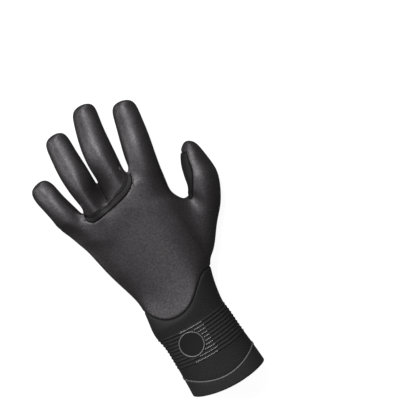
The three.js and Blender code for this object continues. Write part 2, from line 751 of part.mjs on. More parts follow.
const hemY = (column) => (
  cuffY(lerp(HEM_SIDES.left, HEM_SIDES.right, acrossCuff(column)) + HEM_BULGE * facing(column)));
const hemSeamY = (column) => hemY(column) + lerp(HEM_DEPTH, HEM_SEAM_DIP * HEM_DEPTH, facing(column));
const ribY = (column, along) => (
  cuffY(RIB_START) - along * RIB_PITCH + RIB_BOW * (1 - facing(column)) * CUFF_LENGTH);

// A sleeve round the cuff: a list of heights per column, each with how far it stands out
function sleeve(name, rows, colour, inside) {
  const count = 2 * COLUMNS;
  const position = [];
  const index = [];
  const loops = [...rows, ...inside];
  loops.forEach((row) => {
    for (let k = 0; k < count; k += 1) {
      const column = k / 2;
      const down = cuffAt(column, row.y(column));
      position.push(...add(cuffSurface(column, down), cuffNormal(column, down), row.out));
    }
  });
  for (let loop = 0; loop < loops.length; loop += 1) {
    const next = (loop + 1) % loops.length;
    for (let k = 0; k < count; k += 1) {
      const a = loop * count + k;
      const b = loop * count + (k + 1) % count;
      const c = next * count + (k + 1) % count;
      const d = next * count + k;
      index.push(a, d, c, a, c, b);
    }
  }
  return body(name, position, index, colour);
}

function cuff(colour) {
  const startY = (column) => cuffSurface(column, 0)[1] - SEAM_GAP;
  const between = (t) => (column) => lerp(startY(column), ribY(column, 0), t);
  const rows = [{ y: startY, out: 0 }, { y: between(0.35), out: 0 }, { y: between(0.7), out: 0 }];
  for (let k = 0; k < RIB_COUNT; k += 1) {
    rows.push({ y: (column) => ribY(column, k), out: 0 });
    rows.push({ y: (column) => ribY(column, k + 0.5), out: RIB_HEIGHT });
  }
  rows.push({ y: (column) => ribY(column, RIB_COUNT), out: 0 });
  const endY = (column) => hemSeamY(column) + SEAM_GAP / 2;
  rows.push({ y: endY, out: 0 });
  const middle = (t) => (column) => lerp(startY(column), endY(column), t);
  const inside = [1, 0.67, 0.33, 0].map((t) => ({ y: middle(t), out: -WALL }));
  return sleeve('cuff', rows, colour, inside);
}

function hemBand(colour) {
  const startY = (column) => hemSeamY(column) - SEAM_GAP / 2;
  const rows = [0, 0.9, 1].map((t) => ({
    y: (column) => lerp(startY(column), hemY(column), t), out: t === 1 ? -0.3 * WALL : 0,
  }));
  const inside = [1, 0].map((t) => ({
    y: (column) => lerp(startY(column), hemY(column), t), out: -WALL,
  }));
  return sleeve('hem_band', rows, colour, inside);
}

function hemTape(colour) {
  const underneath = (column) => (1 - Math.sin(Math.PI * (column + 1) / (TOP_COUNT + 1))) / 2;
  const half = (column) => lerp(HEM_TAPE_BACK_WIDTH, HEM_TAPE_PALM_WIDTH, underneath(column)) / 2;
  const y = (side) => (column) => hemSeamY(column) + side * half(column);
  const rise = SEAM_GAP + 0.1;
  const rows = [
    { y: y(1), out: rise + 0.4 * HEM_TAPE_THICKNESS },
    { y: y(0), out: rise + HEM_TAPE_THICKNESS },
    { y: y(-1), out: rise + 0.4 * HEM_TAPE_THICKNESS },
  ];
  const inside = [{ y: y(-1), out: rise }, { y: y(1), out: rise }];
  return sleeve('hem_tape', rows, colour, inside);
}

// A point on the back of the cuff found from its place in plan
function backOfCuff(x, y) {
  let low = 1;
  let high = TOP_COUNT - 2;
  for (let step = 0; step < 24; step += 1) {
    const middle = (low + high) / 2;
    if (cuffSurface(middle, cuffAt(middle, y))[0] < x) {
      low = middle;
    } else {
      high = middle;
    }
  }
  return { column: low, down: cuffAt(low, y) };
}

function badge(colour) {
  const centre = [BADGE.x * HAND_WIDTH, cuffY(BADGE.along)];
  const sides = 28;
  const radii = [0.5, 1];
  const flat = [centre];
  radii.forEach((r) => {
    for (let k = 0; k < sides; k += 1) {
      const angle = 2 * Math.PI * k / sides;
      const reach = r * BADGE_RADIUS;
      flat.push([centre[0] + reach * Math.cos(angle), centre[1] + reach * Math.sin(angle)]);
    }
  });
  const position = [];
  [RIB_HEIGHT + SEAM_GAP + BADGE_THICKNESS, RIB_HEIGHT + SEAM_GAP].forEach((rise) => {
    flat.forEach(([x, y]) => {
      const { column, down } = backOfCuff(x, y);
      position.push(...add(cuffSurface(column, down), cuffNormal(column, down), rise));
    });
  });
  const index = [];
  const under = flat.length;
  for (let k = 0; k < sides; k += 1) {
    const n = (k + 1) % sides;
    const [a, b, c, d] = [1 + k, 1 + n, 1 + sides + n, 1 + sides + k];
    index.push(0, a, b, b, a, d, b, d, c);
    index.push(...[0, b, a, b, d, a, b, c, d].map((v) => under + v));
    index.push(c, d, under + d, c, under + d, under + c);
  }
  return body('badge', position, index, colour);
}

const glove = new THREE.Group();
glove.name = 'diving_glove';
glove.add(panel('back_panel', 0x3d393b));
glove.add(panel('finger_back_panel', 0x454144));
glove.add(panel('palm_panel', 0x2c2b2e));
glove.add(knuckleTape(0x1f1e20));
glove.add(cuff(0x27272a));
glove.add(hemBand(0x202023));
glove.add(hemTape(0x5a595c));
glove.add(badge(0x39393c));

export default glove;
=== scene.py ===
"""Dressed model of a left-hand neoprene diving glove that lies on its palm.

Lengths are in millimetres in the tables and in metres in Blender. +X is the thumb side,
+Y the fingertips and +Z up from the back of the hand, as in the CAD model.
"""

import math

import bpy
import numpy as np
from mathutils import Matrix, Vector
from mathutils.bvhtree import BVHTree
from mathutils.kdtree import KDTree

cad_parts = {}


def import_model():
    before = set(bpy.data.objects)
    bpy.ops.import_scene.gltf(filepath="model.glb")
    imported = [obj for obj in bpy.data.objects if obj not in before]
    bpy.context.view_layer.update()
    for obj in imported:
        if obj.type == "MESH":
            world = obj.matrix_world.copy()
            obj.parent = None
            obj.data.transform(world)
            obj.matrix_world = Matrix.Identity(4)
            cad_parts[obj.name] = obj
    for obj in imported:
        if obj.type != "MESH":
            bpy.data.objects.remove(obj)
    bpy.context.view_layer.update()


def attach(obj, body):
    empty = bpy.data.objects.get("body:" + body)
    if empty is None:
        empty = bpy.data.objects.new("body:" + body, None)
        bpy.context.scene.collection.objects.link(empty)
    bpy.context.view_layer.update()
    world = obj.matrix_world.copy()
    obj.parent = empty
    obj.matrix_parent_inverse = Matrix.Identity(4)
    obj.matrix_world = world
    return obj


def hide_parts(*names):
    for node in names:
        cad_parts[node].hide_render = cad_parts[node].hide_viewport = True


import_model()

MM = 0.001

# Camera: straight above the glove, turned as in the photograph
CAMERA_AT = (56.4, 33.3, 917.0)
CAMERA_TURN = -30.0
CAMERA_LENS = 88.04

# Main sizes, the same as in the CAD model
HAND_LENGTH = 195.0
HAND_WIDTH = 110.0
PALM_DEPTH = 36.0
FINGER_WIDTH = 24.0
FINGER_DEPTH = 24.0
THUMB_DEPTH = 28.0
CUFF_LENGTH = 100.0
CUFF_DEPTH = 38.0
HEM_DEPTH = 19.0
WALL = 3.0
TAPE_WIDTH = 6.5
RIB_COUNT = 10
RIB_PITCH = 3.35

# Rows of the palm: leftX, leftY, rightX, rightY, along
PALM_ROWS = [
    (-0.361, -0.154, 0.314, -0.123, 0.00),
    (-0.390, -0.051, 0.413, -0.058, 0.22),
    (-0.459, 0.077, 0.430, 0.085, 0.42),
    (-0.510, 0.205, 0.402, 0.217, 0.62),
    (-0.546, 0.267, 0.347, 0.266, 0.72),
    (-0.580, 0.318, 0.344, 0.313, 0.82),
    (-0.612, 0.359, 0.354, 0.356, 0.90),
    (-0.624, 0.380, 0.360, 0.381, 0.95),
    (-0.636, 0.400, 0.366, 0.405, 1.00),
]
# The same rows, all but the last: height, inset, full, drop
PALM_SECTIONS = [
    (1.040, 0.000, 2.6, 0.00),
    (0.980, 0.030, 2.5, 0.17),
    (0.950, 0.030, 2.4, 0.30),
    (0.950, 0.018, 2.5, 0.36),
    (0.960, 0.004, 2.5, 0.36),
    (0.960, 0.000, 2.5, 0.35),
    (0.945, 0.000, 2.5, 0.31),
    (0.945, 0.000, 2.5, 0.31),
]
CREST = 0.68
INSET_FADE = [0, 1, 0.75, 0.5, 0.3, 0.15]
LITTLE_SIDE_FULL = 2.6
SIDE_HEIGHT = 0.45
FLAT_SHARE = 0.55
ROOT_BLEND = [1, 0.85, 0.35, 0.1]
ROW_AHEAD = 0.6
LAST_ROW = len(PALM_ROWS) - 1
TAPE_ROW = 5
THUMB_ROW = 1

# Fingers from the little finger: root left and right, tip, bow, arch, widths, way back to the tape
FINGERS = [
    dict(left=(-0.636, 0.400), right=(-0.390, 0.384), tip=(-0.613, 0.623), bow=-0.02, arch=0.10,
         widths=(1.06, 0.95, 0.95), back=(0.28, 0.32, 0.24)),
    dict(left=(-0.374, 0.389), right=(-0.167, 0.480), tip=(-0.286, 0.787), bow=-0.06, arch=0.24,
         widths=(1.10, 1.09, 0.97), back=(0.37, 0.67, 0.87)),
    dict(left=(-0.150, 0.480), right=(0.094, 0.451), tip=(0.050, 0.843), bow=-0.11, arch=0.36,
         widths=(1.12, 1.15, 1.00), back=(0.87, 0.67, 0.34)),
    dict(left=(0.117, 0.451), right=(0.366, 0.405), tip=(0.356, 0.766), bow=0.02, arch=0.34,
         widths=(1.18, 1.14, 1.01), back=(0.22, 0.36, 0.46)),
]
FINGER_RINGS = [(0.24, 1.06, 1.00), (0.52, 0.80, 0.97), (0.78, 0.36, 0.93)]
TIP_LIFT = 0.02
TIP_DEPTH = 0.86
TIP_RINGS = [(0.95, 0.985), (0.27, 0.74)]

# Thumb rings: inner x and y, outer x and y, depth, lift, turn in degrees
THUMB_RINGS = [
    (0.441, 0.221, 0.534, 0.031, 0.84, 0.02, -4),
    (0.470, 0.242, 0.641, 0.103, 0.92, 0.04, -2),
    (0.484, 0.267, 0.716, 0.178, 0.96, 0.06, 5),
    (0.492, 0.297, 0.752, 0.239, 0.94, 0.07, 15),
    (0.504, 0.328, 0.757, 0.288, 0.88, 0.06, 22),
    (0.525, 0.366, 0.744, 0.354, 0.82, 0.04, 23),
    (0.570, 0.412, 0.722, 0.414, 0.62, 0.09, 22),
]
THUMB_TIP = (0.650, 0.448, 0.38)

RING = [(-1, 0), (-0.73, 0.71), (0, 1), (0.73, 0.71), (1, 0), (0.64, -0.80), (0, -1), (-0.64, -0.80)]
# Crease between the ring and middle fingers at their roots and at the next ring: across, up
CREASE = [(0.92, -0.05), (0.83, 0.45)]
SEAM_LOW = (-0.127, -0.244)
SEAM_POWERS = (2.3, 1.3)
SEAM_RIGHT_END = 0.285
HEEL_LOW = -0.180

# Rings of the cuff: along, left, right, height
CUFF_ROWS = [
    (0.22, -0.382, 0.260, 1.00),
    (0.36, -0.360, 0.264, 0.97),
    (0.52, -0.351, 0.275, 0.97),
    (0.68, -0.350, 0.291, 0.98),
    (0.84, -0.352, 0.306, 1.00),
    (1.00, -0.355, 0.316, 1.02),
    (1.16, -0.359, 0.321, 1.04),
]
CUFF_START = -0.154
CUFF_LIFT = 1.6
# The ribs start a little nearer the hand than in the CAD model
RIB_START = 0.303
RIB_BOW = 0.022
HEM_SIDES = (0.90, 0.935)
HEM_BULGE = 0.045
HEM_SEAM_DIP = 0.58
BADGE_AT = (-0.136, 0.455)
BADGE_RADIUS = 11.8

# Edges of the knuckle tape in plan, from the little finger's side
TAPE_LOWER = [
    (-43.6, 69.4), (-41.2, 65.6), (-37.0, 63.0), (-30.0, 63.5), (-20.0, 65.5), (-10.0, 67.2), (0.0, 69.6),
    (5.0, 72.1), (10.2, 76.0), (13.2, 80.4), (13.8, 86.5),
]
TAPE_UPPER = [
    (-42.2, 73.8), (-39.6, 71.0), (-36.0, 69.8), (-30.0, 69.9), (-20.0, 71.9), (-10.0, 74.8), (0.0, 77.2),
    (5.0, 79.8), (8.2, 83.0), (10.4, 88.0),
]

TOP = 12
COLUMNS = 2 * TOP + 2
RIGHT = TOP
LEFT = COLUMNS - 1


def lerp(a, b, t):
    return a + (b - a) * t


def plan(x, y):
    return np.array([x * HAND_WIDTH, y * HAND_LENGTH])


def unit(v):
    return v / np.maximum(np.linalg.norm(v, axis=-1, keepdims=True), 1e-12)


def finger_frame(f):
    """Root, tip and length of a finger, and the directions ahead and to its right."""
    root, tip = (plan(*f["left"]) + plan(*f["right"])) / 2, plan(*f["tip"])
    length = float(np.hypot(*(tip - root)))
    ahead = (tip - root) / length
    return root, tip, length, ahead, np.array([ahead[1], -ahead[0]])


# Control points of the hand, as in the CAD model


def ring_place(finger, station, level):
    if (finger, station) in ((1, 3), (2, 1)) and level < 2:
        across, up = CREASE[level]
        return (across if station == 3 else -across), up
    return RING[station]


def ring_point(place, left, right, bottom, depth, turn=0.0):
    across, up = place
    roll = math.radians(turn)
    a = across * math.cos(roll) + up * math.sin(roll)
    u = up * math.cos(roll) - across * math.sin(roll)
    share = (1 + a) / 2
    return [lerp(left[0], right[0], share), lerp(left[1], right[1], share), bottom + depth * (1 + u) / 2]


def root_point(finger, station):
    f = FINGERS[finger]
    left, right = plan(*f["left"]), plan(*f["right"])
    return ring_point(ring_place(finger, station, 0), left, right, f["arch"] * FINGER_DEPTH, FINGER_DEPTH)


def column_target(column):
    if column == RIGHT:
        return 3, 4
    if column == LEFT:
        return 0, 0
    top = column < RIGHT
    index = column if top else LEFT - 1 - column
    place = index % 3
    return index // 3, 1 + place if top else 7 - place


def seam_line(x, top):
    first = PALM_ROWS[0]
    left, right = plan(*first[0:2]), plan(*first[2:4])
    middle = (left[0] + right[0]) / 2
    if not top:
        reach = min(1, abs(x - middle) / (right[0] - middle))
        return lerp(HEEL_LOW * HAND_LENGTH, left[1] if x < middle else right[1], reach**2)
    low = plan(*SEAM_LOW)
    if x < low[0]:
        return lerp(low[1], left[1], min(1, (low[0] - x) / (low[0] - left[0])) ** SEAM_POWERS[0])
    reach = min(1, (x - low[0]) / (SEAM_RIGHT_END * HAND_WIDTH - low[0]))
    return lerp(low[1], right[1], (1 - math.cos(math.pi * reach ** SEAM_POWERS[1])) / 2)


def oval_station(column):
    if column in (RIGHT, LEFT):
        return (1 if column == RIGHT else 0), 0
    top = column < RIGHT
    index = column if top else LEFT - 1 - column
    angle = math.pi * (index + 1) / (TOP + 1)
    return (1 - math.cos(angle)) / 2, math.sin(angle) if top else -math.sin(angle)


def oval_height(rise, height):
    side = SIDE_HEIGHT * height
    if rise >= 0:
        return side + (height - side) * rise**0.85
    return side * (1 - min(1, (-rise) ** 0.55 * 1.06))


def wrist_y(column):
    first = PALM_ROWS[0]
    if column == RIGHT:
        return first[3] * HAND_LENGTH
    if column == LEFT:
        return first[1] * HAND_LENGTH
    x = lerp(first[0], first[2], oval_station(column)[0]) * HAND_WIDTH
    return seam_line(x, column < RIGHT)


def palm_height(row, column, across):
    height, _, full_power, drop = PALM_SECTIONS[row]
    side = SIDE_HEIGHT * height * PALM_DEPTH
    if column in (RIGHT, LEFT):
        return side
    fall = drop * max(0, 1 - across / CREST) ** 1.3 if column < RIGHT else 0
    height *= PALM_DEPTH * (1 - fall)
    even = oval_height(oval_station(column)[1], height)
    edge = min(1, abs(2 * across - 1))
    power = full_power if across > 0.5 else LITTLE_SIDE_FULL
    full = side + (height - side) * (1 - edge**power) ** 0.45
    if column > RIGHT:
        full = 0 if edge < FLAT_SHARE else side * (1 - math.sqrt(1 - edge ** (3 * power)))
    return lerp(even, full, min(1, 2.2 * PALM_ROWS[row][4]))


def palm_point(row, column):
    """A point of the palm, or none where the thumb opens."""
    if column == RIGHT and row == THUMB_ROW + 1:
        return None
    left_x, left_y, right_x, right_y, along = PALM_ROWS[row]
    finger, station = column_target(column)
    root = root_point(finger, station)
    if row == LAST_ROW:
        return root
    first, last = PALM_ROWS[0], PALM_ROWS[LAST_ROW]
    root_share = (root[0] / HAND_WIDTH - last[0]) / (last[2] - last[0])
    share = lerp(oval_station(column)[0], root_share, min(1, 2.5 * along))
    left_rise = left_y - lerp(first[1], last[1], along)
    right_rise = right_y - lerp(first[3], last[3], along)
    reach = abs(column - RIGHT)
    inset = PALM_SECTIONS[row][1] * INSET_FADE[reach] if reach < len(INSET_FADE) else 0
    x = (lerp(left_x, right_x, share) - inset) * HAND_WIDTH
    y = lerp(wrist_y(column), root[1], along) + lerp(left_rise, right_rise, share) * HAND_LENGTH
    if column < RIGHT and row >= TAPE_ROW:
        reach = FINGERS[finger]["back"][station - 1] * FINGER_WIDTH
        if row > TAPE_ROW + 1:
            reach *= ROW_AHEAD
        y = root[1] - reach - (TAPE_WIDTH if row == TAPE_ROW else 0)
    across = (x / HAND_WIDTH - left_x) / (right_x - left_x)
    steps = LAST_ROW - row
    blend = ROOT_BLEND[steps] if steps < len(ROOT_BLEND) else 0
    return [x, y, lerp(palm_height(row, column, across), root[2], blend)]


def cuff_y(along):
    return CUFF_START * HAND_LENGTH - along * CUFF_LENGTH


def cuff_point(row, column):
    along, left, right, height = CUFF_ROWS[row]
    share, rise = oval_station(column)
    z = CUFF_LIFT + oval_height(rise, height * CUFF_DEPTH - CUFF_LIFT)
    return [lerp(left, right, share) * HAND_WIDTH, cuff_y(along), z]


NO_VERTEX = -1
points = []
quads = []
marks = []


def vertex(p):
    if p is None:
        return NO_VERTEX
    points.append([float(v) for v in p])
    return len(points) - 1


def quad(ids, *where):
    quads.append(ids)
    marks.append(where)


def build_rows(rows, kind):
    """Quads between the rows of the palm, or of the cuff, whose rows run the other way."""
    for row, (low, high) in enumerate(zip(rows, rows[1:])):
        for column in range(COLUMNS):
            after = (column + 1) % COLUMNS
            ids = [low[column], low[after], high[after], high[column]]
            if NO_VERTEX not in ids:
                quad(ids if kind == "palm" else ids[::-1], kind, row, column)


def build_cage():
    palm = [[vertex(palm_point(row, column)) for column in range(COLUMNS)] for row in range(len(PALM_ROWS))]
    grid = [[vertex(cuff_point(row, column)) for column in range(COLUMNS)] for row in range(len(CUFF_ROWS))]
    build_rows(palm, "palm")
    build_rows([palm[0], *grid], "cuff")
    roots = build_fingers(palm[LAST_ROW])
    for k in range(3):
        here, there = roots[k], roots[k + 1]
        quad([here[3], there[1], there[0], here[4]], "web", k, 0)
        quad([here[4], there[0], there[7], here[5]], "web", k, 0)
    build_thumb(palm)
    return palm, grid


def tube(rings, tip, *where):
    for ring in range(len(rings) - 1):
        low, high = rings[ring], rings[ring + 1]
        for station in range(8):
            after = (station + 1) % 8
            quad([low[station], low[after], high[after], high[station]], *where, ring, station)
    last = rings[-1]
    for station in range(0, 8, 2):
        quad([last[station], last[station + 1], last[(station + 2) % 8], tip], *where, len(rings), station)


def build_fingers(fan):
    roots = []
    for k in range(len(FINGERS)):
        left = fan[LEFT] if k == 0 else vertex(root_point(k, 0))
        right = fan[RIGHT] if k == 3 else vertex(root_point(k, 4))
        first, last = 3 * k, LEFT - 3 * k
        roots.append([left, *fan[first:first + 3], right, *fan[last - 3:last]])
    for k, f in enumerate(FINGERS):
        root, tip, length, ahead, side = finger_frame(f)
        radius = f["widths"][2] * FINGER_WIDTH / 2
        straight = length - TIP_RINGS[0][0] * radius
        skew = plan(*f["right"]) - plan(*f["left"])
        lean = float(skew @ ahead) / float(np.hypot(*skew))

        def ring_at(level, distance, half, bottom, depth):
            s = distance / length
            centre = root + ahead * distance + side * f["bow"] * FINGER_WIDTH * math.sin(math.pi * s)
            tilt = lean * max(0, 1 - 2.2 * s)
            across = side * math.sqrt(1 - tilt * tilt) + ahead * tilt
            ends = centre - across * half, centre + across * half
            places = [ring_place(k, station, level) for station in range(8)]
            return [vertex(ring_point(place, *ends, bottom, depth)) for place in places]

        rings = [roots[k]]
        root_width, mid_width, tip_width = f["widths"]
        for t, arch, depth in FINGER_RINGS:
            width = lerp(root_width, mid_width, 2 * t) if t < 0.5 else lerp(mid_width, tip_width, 2 * t - 1)
            half = width * FINGER_WIDTH / 2
            bottom = (TIP_LIFT + arch * f["arch"]) * FINGER_DEPTH
            rings.append(ring_at(len(rings), t * straight, half, bottom, depth * FINGER_DEPTH))
        tip_depth = TIP_DEPTH * FINGER_DEPTH
        centre_z = TIP_LIFT * FINGER_DEPTH + tip_depth / 2
        for back, width in TIP_RINGS:
            rings.append(ring_at(len(rings), length - back * radius, width * radius,
                                 centre_z - width * tip_depth / 2, width * tip_depth))
        tube(rings, vertex([*tip, centre_z]), "finger", k)
    return roots


def build_thumb(palm):
    low, middle, high = palm[THUMB_ROW], palm[THUMB_ROW + 1], palm[THUMB_ROW + 2]
    root = [
        high[RIGHT], high[RIGHT - 1], middle[RIGHT - 1], low[RIGHT - 1],
        low[RIGHT], low[RIGHT + 1], middle[RIGHT + 1], high[RIGHT + 1],
    ]
    rings = [root]
    for inner_x, inner_y, outer_x, outer_y, depth, lift, turn in THUMB_RINGS:
        ends = plan(inner_x, inner_y), plan(outer_x, outer_y)
        rings.append([
            vertex(ring_point(place, *ends, lift * THUMB_DEPTH, depth * THUMB_DEPTH, turn)) for place in RING
        ])
    tip = vertex([*plan(*THUMB_TIP[:2]), THUMB_TIP[2] * THUMB_DEPTH])
    tube(rings, tip, "thumb", 0)


# Smooth surface of a quad mesh


def edge_table(faces, count):
    a, b = faces.ravel(), np.roll(faces, -1, 1).ravel()
    code = np.minimum(a, b) * count + np.maximum(a, b)
    keys, where, uses = np.unique(code, return_inverse=True, return_counts=True)
    return np.stack([keys // count, keys % count], 1), where.ravel(), uses


def neighbour_sum(at, ends, weight=1.0):
    """For each vertex, the sum of the vertices at the far ends of its edges."""
    out = np.zeros_like(at)
    np.add.at(out, ends[:, 0], at[ends[:, 1]] * weight)
    np.add.at(out, ends[:, 1], at[ends[:, 0]] * weight)
    return out


def limit_points(at, faces):
    count = len(at)
    ends, _, uses = edge_table(faces, count)
    spokes = neighbour_sum(at, ends)
    corners = np.zeros_like(at)
    np.add.at(corners, faces.ravel(), at[np.roll(faces, -2, 1).ravel()])
    n = np.bincount(faces.ravel(), minlength=count)[:, None].astype(float)
    out = (n * n * at + 4 * spokes + corners) / np.maximum(n * (n + 5), 1)
    open_ends = np.unique(ends[uses == 1])
    out[open_ends] = at[open_ends]
    return out


def fit(wanted, faces, loose, rounds):
    cage = wanted.copy()
    for _ in range(rounds):
        step = wanted - limit_points(cage, faces)
        step[loose] = 0
        cage += step
    return cage


def refine(at, faces):
    count = len(at)
    ends, where, uses = edge_table(faces, count)
    middles = at[faces].mean(1)
    face_of = np.repeat(np.arange(len(faces)), 4)
    beside = np.zeros((len(ends), 3))
    np.add.at(beside, where, middles[face_of])
    halves = at[ends].mean(1)
    edge_points = np.where((uses == 2)[:, None], (2 * halves + beside) / 4, halves)
    around = np.zeros_like(at)
    np.add.at(around, faces.ravel(), middles[face_of])
    spokes = np.zeros_like(at)
    np.add.at(spokes, ends[:, 0], halves)
    np.add.at(spokes, ends[:, 1], halves)
    n = np.maximum(np.bincount(faces.ravel(), minlength=count), 1)[:, None].astype(float)
    moved = (around / n + 2 * spokes / n + (n - 3) * at) / n
    open_ends = np.unique(ends[uses == 1])
    moved[open_ends] = at[open_ends]
    out = np.concatenate([moved, edge_points, middles])
    edge_ids = count + where.reshape(-1, 4)
    centre = count + len(ends) + np.arange(len(faces))
    small = np.empty((len(faces), 4, 4), int)
    for k in range(4):
        order = [faces[:, k], edge_ids[:, k], centre, edge_ids[:, (k + 3) % 4]]
        for s in range(4):
            small[:, k, s] = order[(s + 4 - k) % 4]
    return out, small.reshape(-1, 4)


def vertex_normals(at, faces):
    a, b, c, d = (at[faces[:, k]] for k in range(4))
    outward = np.cross(c - a, d - b)
    out = np.zeros_like(at)
    for k in range(4):
        np.add.at(out, faces[:, k], outward)
    return unit(out)


def laid_down(at, faces):
    """Limit points of the hand, none of them below the plane that it lies on."""
    out = limit_points(at, faces)
    out[:, 2] = np.maximum(0, out[:, 2])
    return out


# Which panel a small quad belongs to: mark is the control quad and corner its quarter


def over_middle_fingers(column, corner):
    right_half = corner in (1, 2)
    return 2 < column < 8 or (column == 2 and right_half) or (column == 8 and not right_half)


def panel_of(mark, corner):
    kind, first, second, *rest = mark
    if kind == "cuff":
        return "cuff"
    if kind == "palm":
        row, column = first, second
        if RIGHT < column < LEFT - 1:
            return "palm_panel"
        beyond = row > TAPE_ROW or (row == TAPE_ROW and corner >= 2)
        return "finger_back_panel" if beyond and over_middle_fingers(column, corner) else "back_panel"
    if kind == "web":
        return "finger_back_panel" if first == 1 else "back_panel"
    ring, station = second, rest[0]
    if kind == "thumb":
        palmar = station > 4 or (station == 0 and ring > 0)
        return "palm_panel" if ring < len(THUMB_RINGS) and palmar else "back_panel"
    if ring < len(FINGER_RINGS) + 1 and station in (5, 6):
        return "palm_panel"
    return "finger_back_panel" if first in (1, 2) else "back_panel"


FIT_ROUNDS = 8
palm_ids, cuff_ids = build_cage()
cage_faces = np.array(quads)
in_webs = np.unique([ids for ids, mark in zip(quads, marks) if mark[0] == "web"])
cage = fit(np.array(points), cage_faces, in_webs, FIT_ROUNDS)

# One round as in the CAD model gives the panels, then the surface is refined on
LABELS = ["back_panel", "finger_back_panel", "palm_panel", "cuff"]
BACK, FINGER_BACKS, PALM, CUFF = range(len(LABELS))
level_at, level_faces = refine(cage, cage_faces)
labels = np.array([LABELS.index(panel_of(marks[k // 4], k % 4)) for k in range(len(level_faces))])
coarse = (level_at, level_faces, labels)
FINE_ROUNDS = 3
# The back is eased where the outer fingers begin: finger, reach in millimetres
EASED = [(0, 20.0), (3, 30.0)]
EASE_PASSES = 70
EASE_STEP = 0.9
EASE_FADE = 1.6
# Edges pull by this power of how well they point along the finger, and the others a little
PULL_POWER = 6
LEAST_PULL = 0.01
# Each pass against ripples is a step that evens out and one that undoes the shrinking
RIPPLE_STEPS = (0.6, -0.62)
RIPPLE_PASSES = 30


def upper_side(at, faces):
    """1 where the surface faces up, down to 0 where it faces sideways."""
    return np.clip(vertex_normals(at, faces)[:, 2] * 2.5 - 0.5, 0, 1)


def eased(at, faces):
    """Evens out the upper side of the hand along the outer fingers, near their roots."""
    upward = upper_side(at, faces)
    ends, _, _ = edge_table(faces, len(at))
    for finger, reach in EASED:
        left, right = plan(*FINGERS[finger]["left"]), plan(*FINGERS[finger]["right"])
        place = np.clip((at[:, :2] - left) @ (right - left) / ((right - left) @ (right - left)), 0, 1)
        away = np.linalg.norm(at[:, :2] - left - place[:, None] * (right - left), axis=1)
        share = (upward * np.clip(EASE_FADE * (1 - away / reach), 0, 1))[:, None]
        ahead = finger_frame(FINGERS[finger])[3]
        step = at[ends[:, 1]] - at[ends[:, 0]]
        aligned = np.abs(step[:, :2] @ ahead) / np.maximum(np.linalg.norm(step, axis=1), 1e-9)
        pull = aligned**PULL_POWER + LEAST_PULL
        total = np.bincount(ends.ravel(), np.repeat(pull, 2), len(at))[:, None]
        for _ in range(EASE_PASSES):
            moved = neighbour_sum(at, ends, pull[:, None])
            at = at + share * (moved / np.maximum(total, 1e-9) - at) * EASE_STEP
    return at


def evened(at, faces):
    """Takes short ripples out of the upper side of the hand without shrinking it."""
    share = upper_side(at, faces)[:, None]
    ends, _, _ = edge_table(faces, len(at))
    count = np.maximum(np.bincount(ends.ravel(), minlength=len(at)), 1)[:, None]
    for step in RIPPLE_STEPS * RIPPLE_PASSES:
        at = at + share * (neighbour_sum(at, ends) / count - at) * step
    return at


for fine_round in range(FINE_ROUNDS):
    if fine_round == FINE_ROUNDS - 1:
        level_at = evened(eased(level_at, level_faces), level_faces)
    level_at, level_faces = refine(level_at, level_faces)
    labels = np.repeat(labels, 4)
hand_at = laid_down(level_at, level_faces)
hand_normals = vertex_normals(hand_at, level_faces)

FAR = 99.0
# Rays down to the back start at this height
RAY_HEIGHT = 80.0
DOWN = (0.0, 0.0, -1.0)
UP = (0.0, 0.0, 1.0)


def seam_edges():
    """Edges between different panels, but for the seam between the two back panels."""
    ends, where, uses = edge_table(level_faces, len(hand_at))
    low = np.full(len(ends), len(LABELS))
    high = np.full(len(ends), -1)
    np.minimum.at(low, where, np.repeat(labels, 4))
    np.maximum.at(high, where, np.repeat(labels, 4))
    return ends[(uses == 2) & (low != high) & (high > FINGER_BACKS)]


def distance_to(places):
    """Distance of each vertex of the hand from the nearest of some places."""
    tree = KDTree(len(places))
    for k, place in enumerate(places):
        tree.insert(place, k)
    tree.balance()
    out = np.full(len(hand_at), FAR)
    for v in np.unique(level_faces[labels != CUFF]):
        out[v] = tree.find(hand_at[v])[2]
    return out


def cast(tree, faces, start, towards):
    """Where rays meet part of the hand: places, outward directions and whether each ray meets it."""
    at = np.array(start, float)
    outward = np.zeros((len(start), 3))
    met = np.zeros(len(start), bool)
    for k, origin in enumerate(start):
        hit, _, index, _ = tree.ray_cast(Vector(origin), Vector(towards))
        if hit is not None:
            at[k] = hit
            outward[k] = hand_normals[faces[index]].mean(0)
            met[k] = True
    return at, unit(outward), met


def at_height(path, height=0.0):
    """Points in plan as points at one height."""
    path = np.asarray(path, float)
    return np.concatenate([path, np.full((len(path), 1), height)], 1)


def lengths_along(path):
    return np.concatenate([[0], np.cumsum(np.linalg.norm(np.diff(path, axis=0), axis=1))])


def places_along(path, lengths, at):
    return np.stack([np.interp(at, lengths, path[:, k]) for k in range(path.shape[1])], 1)


def resample(path, count):
    path = np.asarray(path, float)
    lengths = lengths_along(path)
    return places_along(path, lengths, np.linspace(0, lengths[-1], count))


def grid_quads(index):
    """Quads between the neighbours in a grid of vertex numbers."""
    return np.stack([index[:-1, :-1], index[:-1, 1:], index[1:, 1:], index[1:, :-1]], -1)


def rounded(path, count, passes=40):
    """A path through a few points, with its corners rounded."""
    out = resample(path, count)
    for _ in range(passes):
        out[1:-1] = (out[:-2] + 2 * out[1:-1] + out[2:]) / 4
    return out


# The knuckle tape lies over the back: across its width, and how far it stands out
TAPE_SECTION = [
    (0.0, -0.7), (0.05, 0.12), (0.10, 0.30), (0.17, 0.40), (0.24, 0.34), (0.36, 0.40), (0.5, 0.42),
    (0.64, 0.40), (0.76, 0.34), (0.83, 0.40), (0.90, 0.30), (0.95, 0.12), (1.0, -0.7),
]
TAPE_STEPS = 150
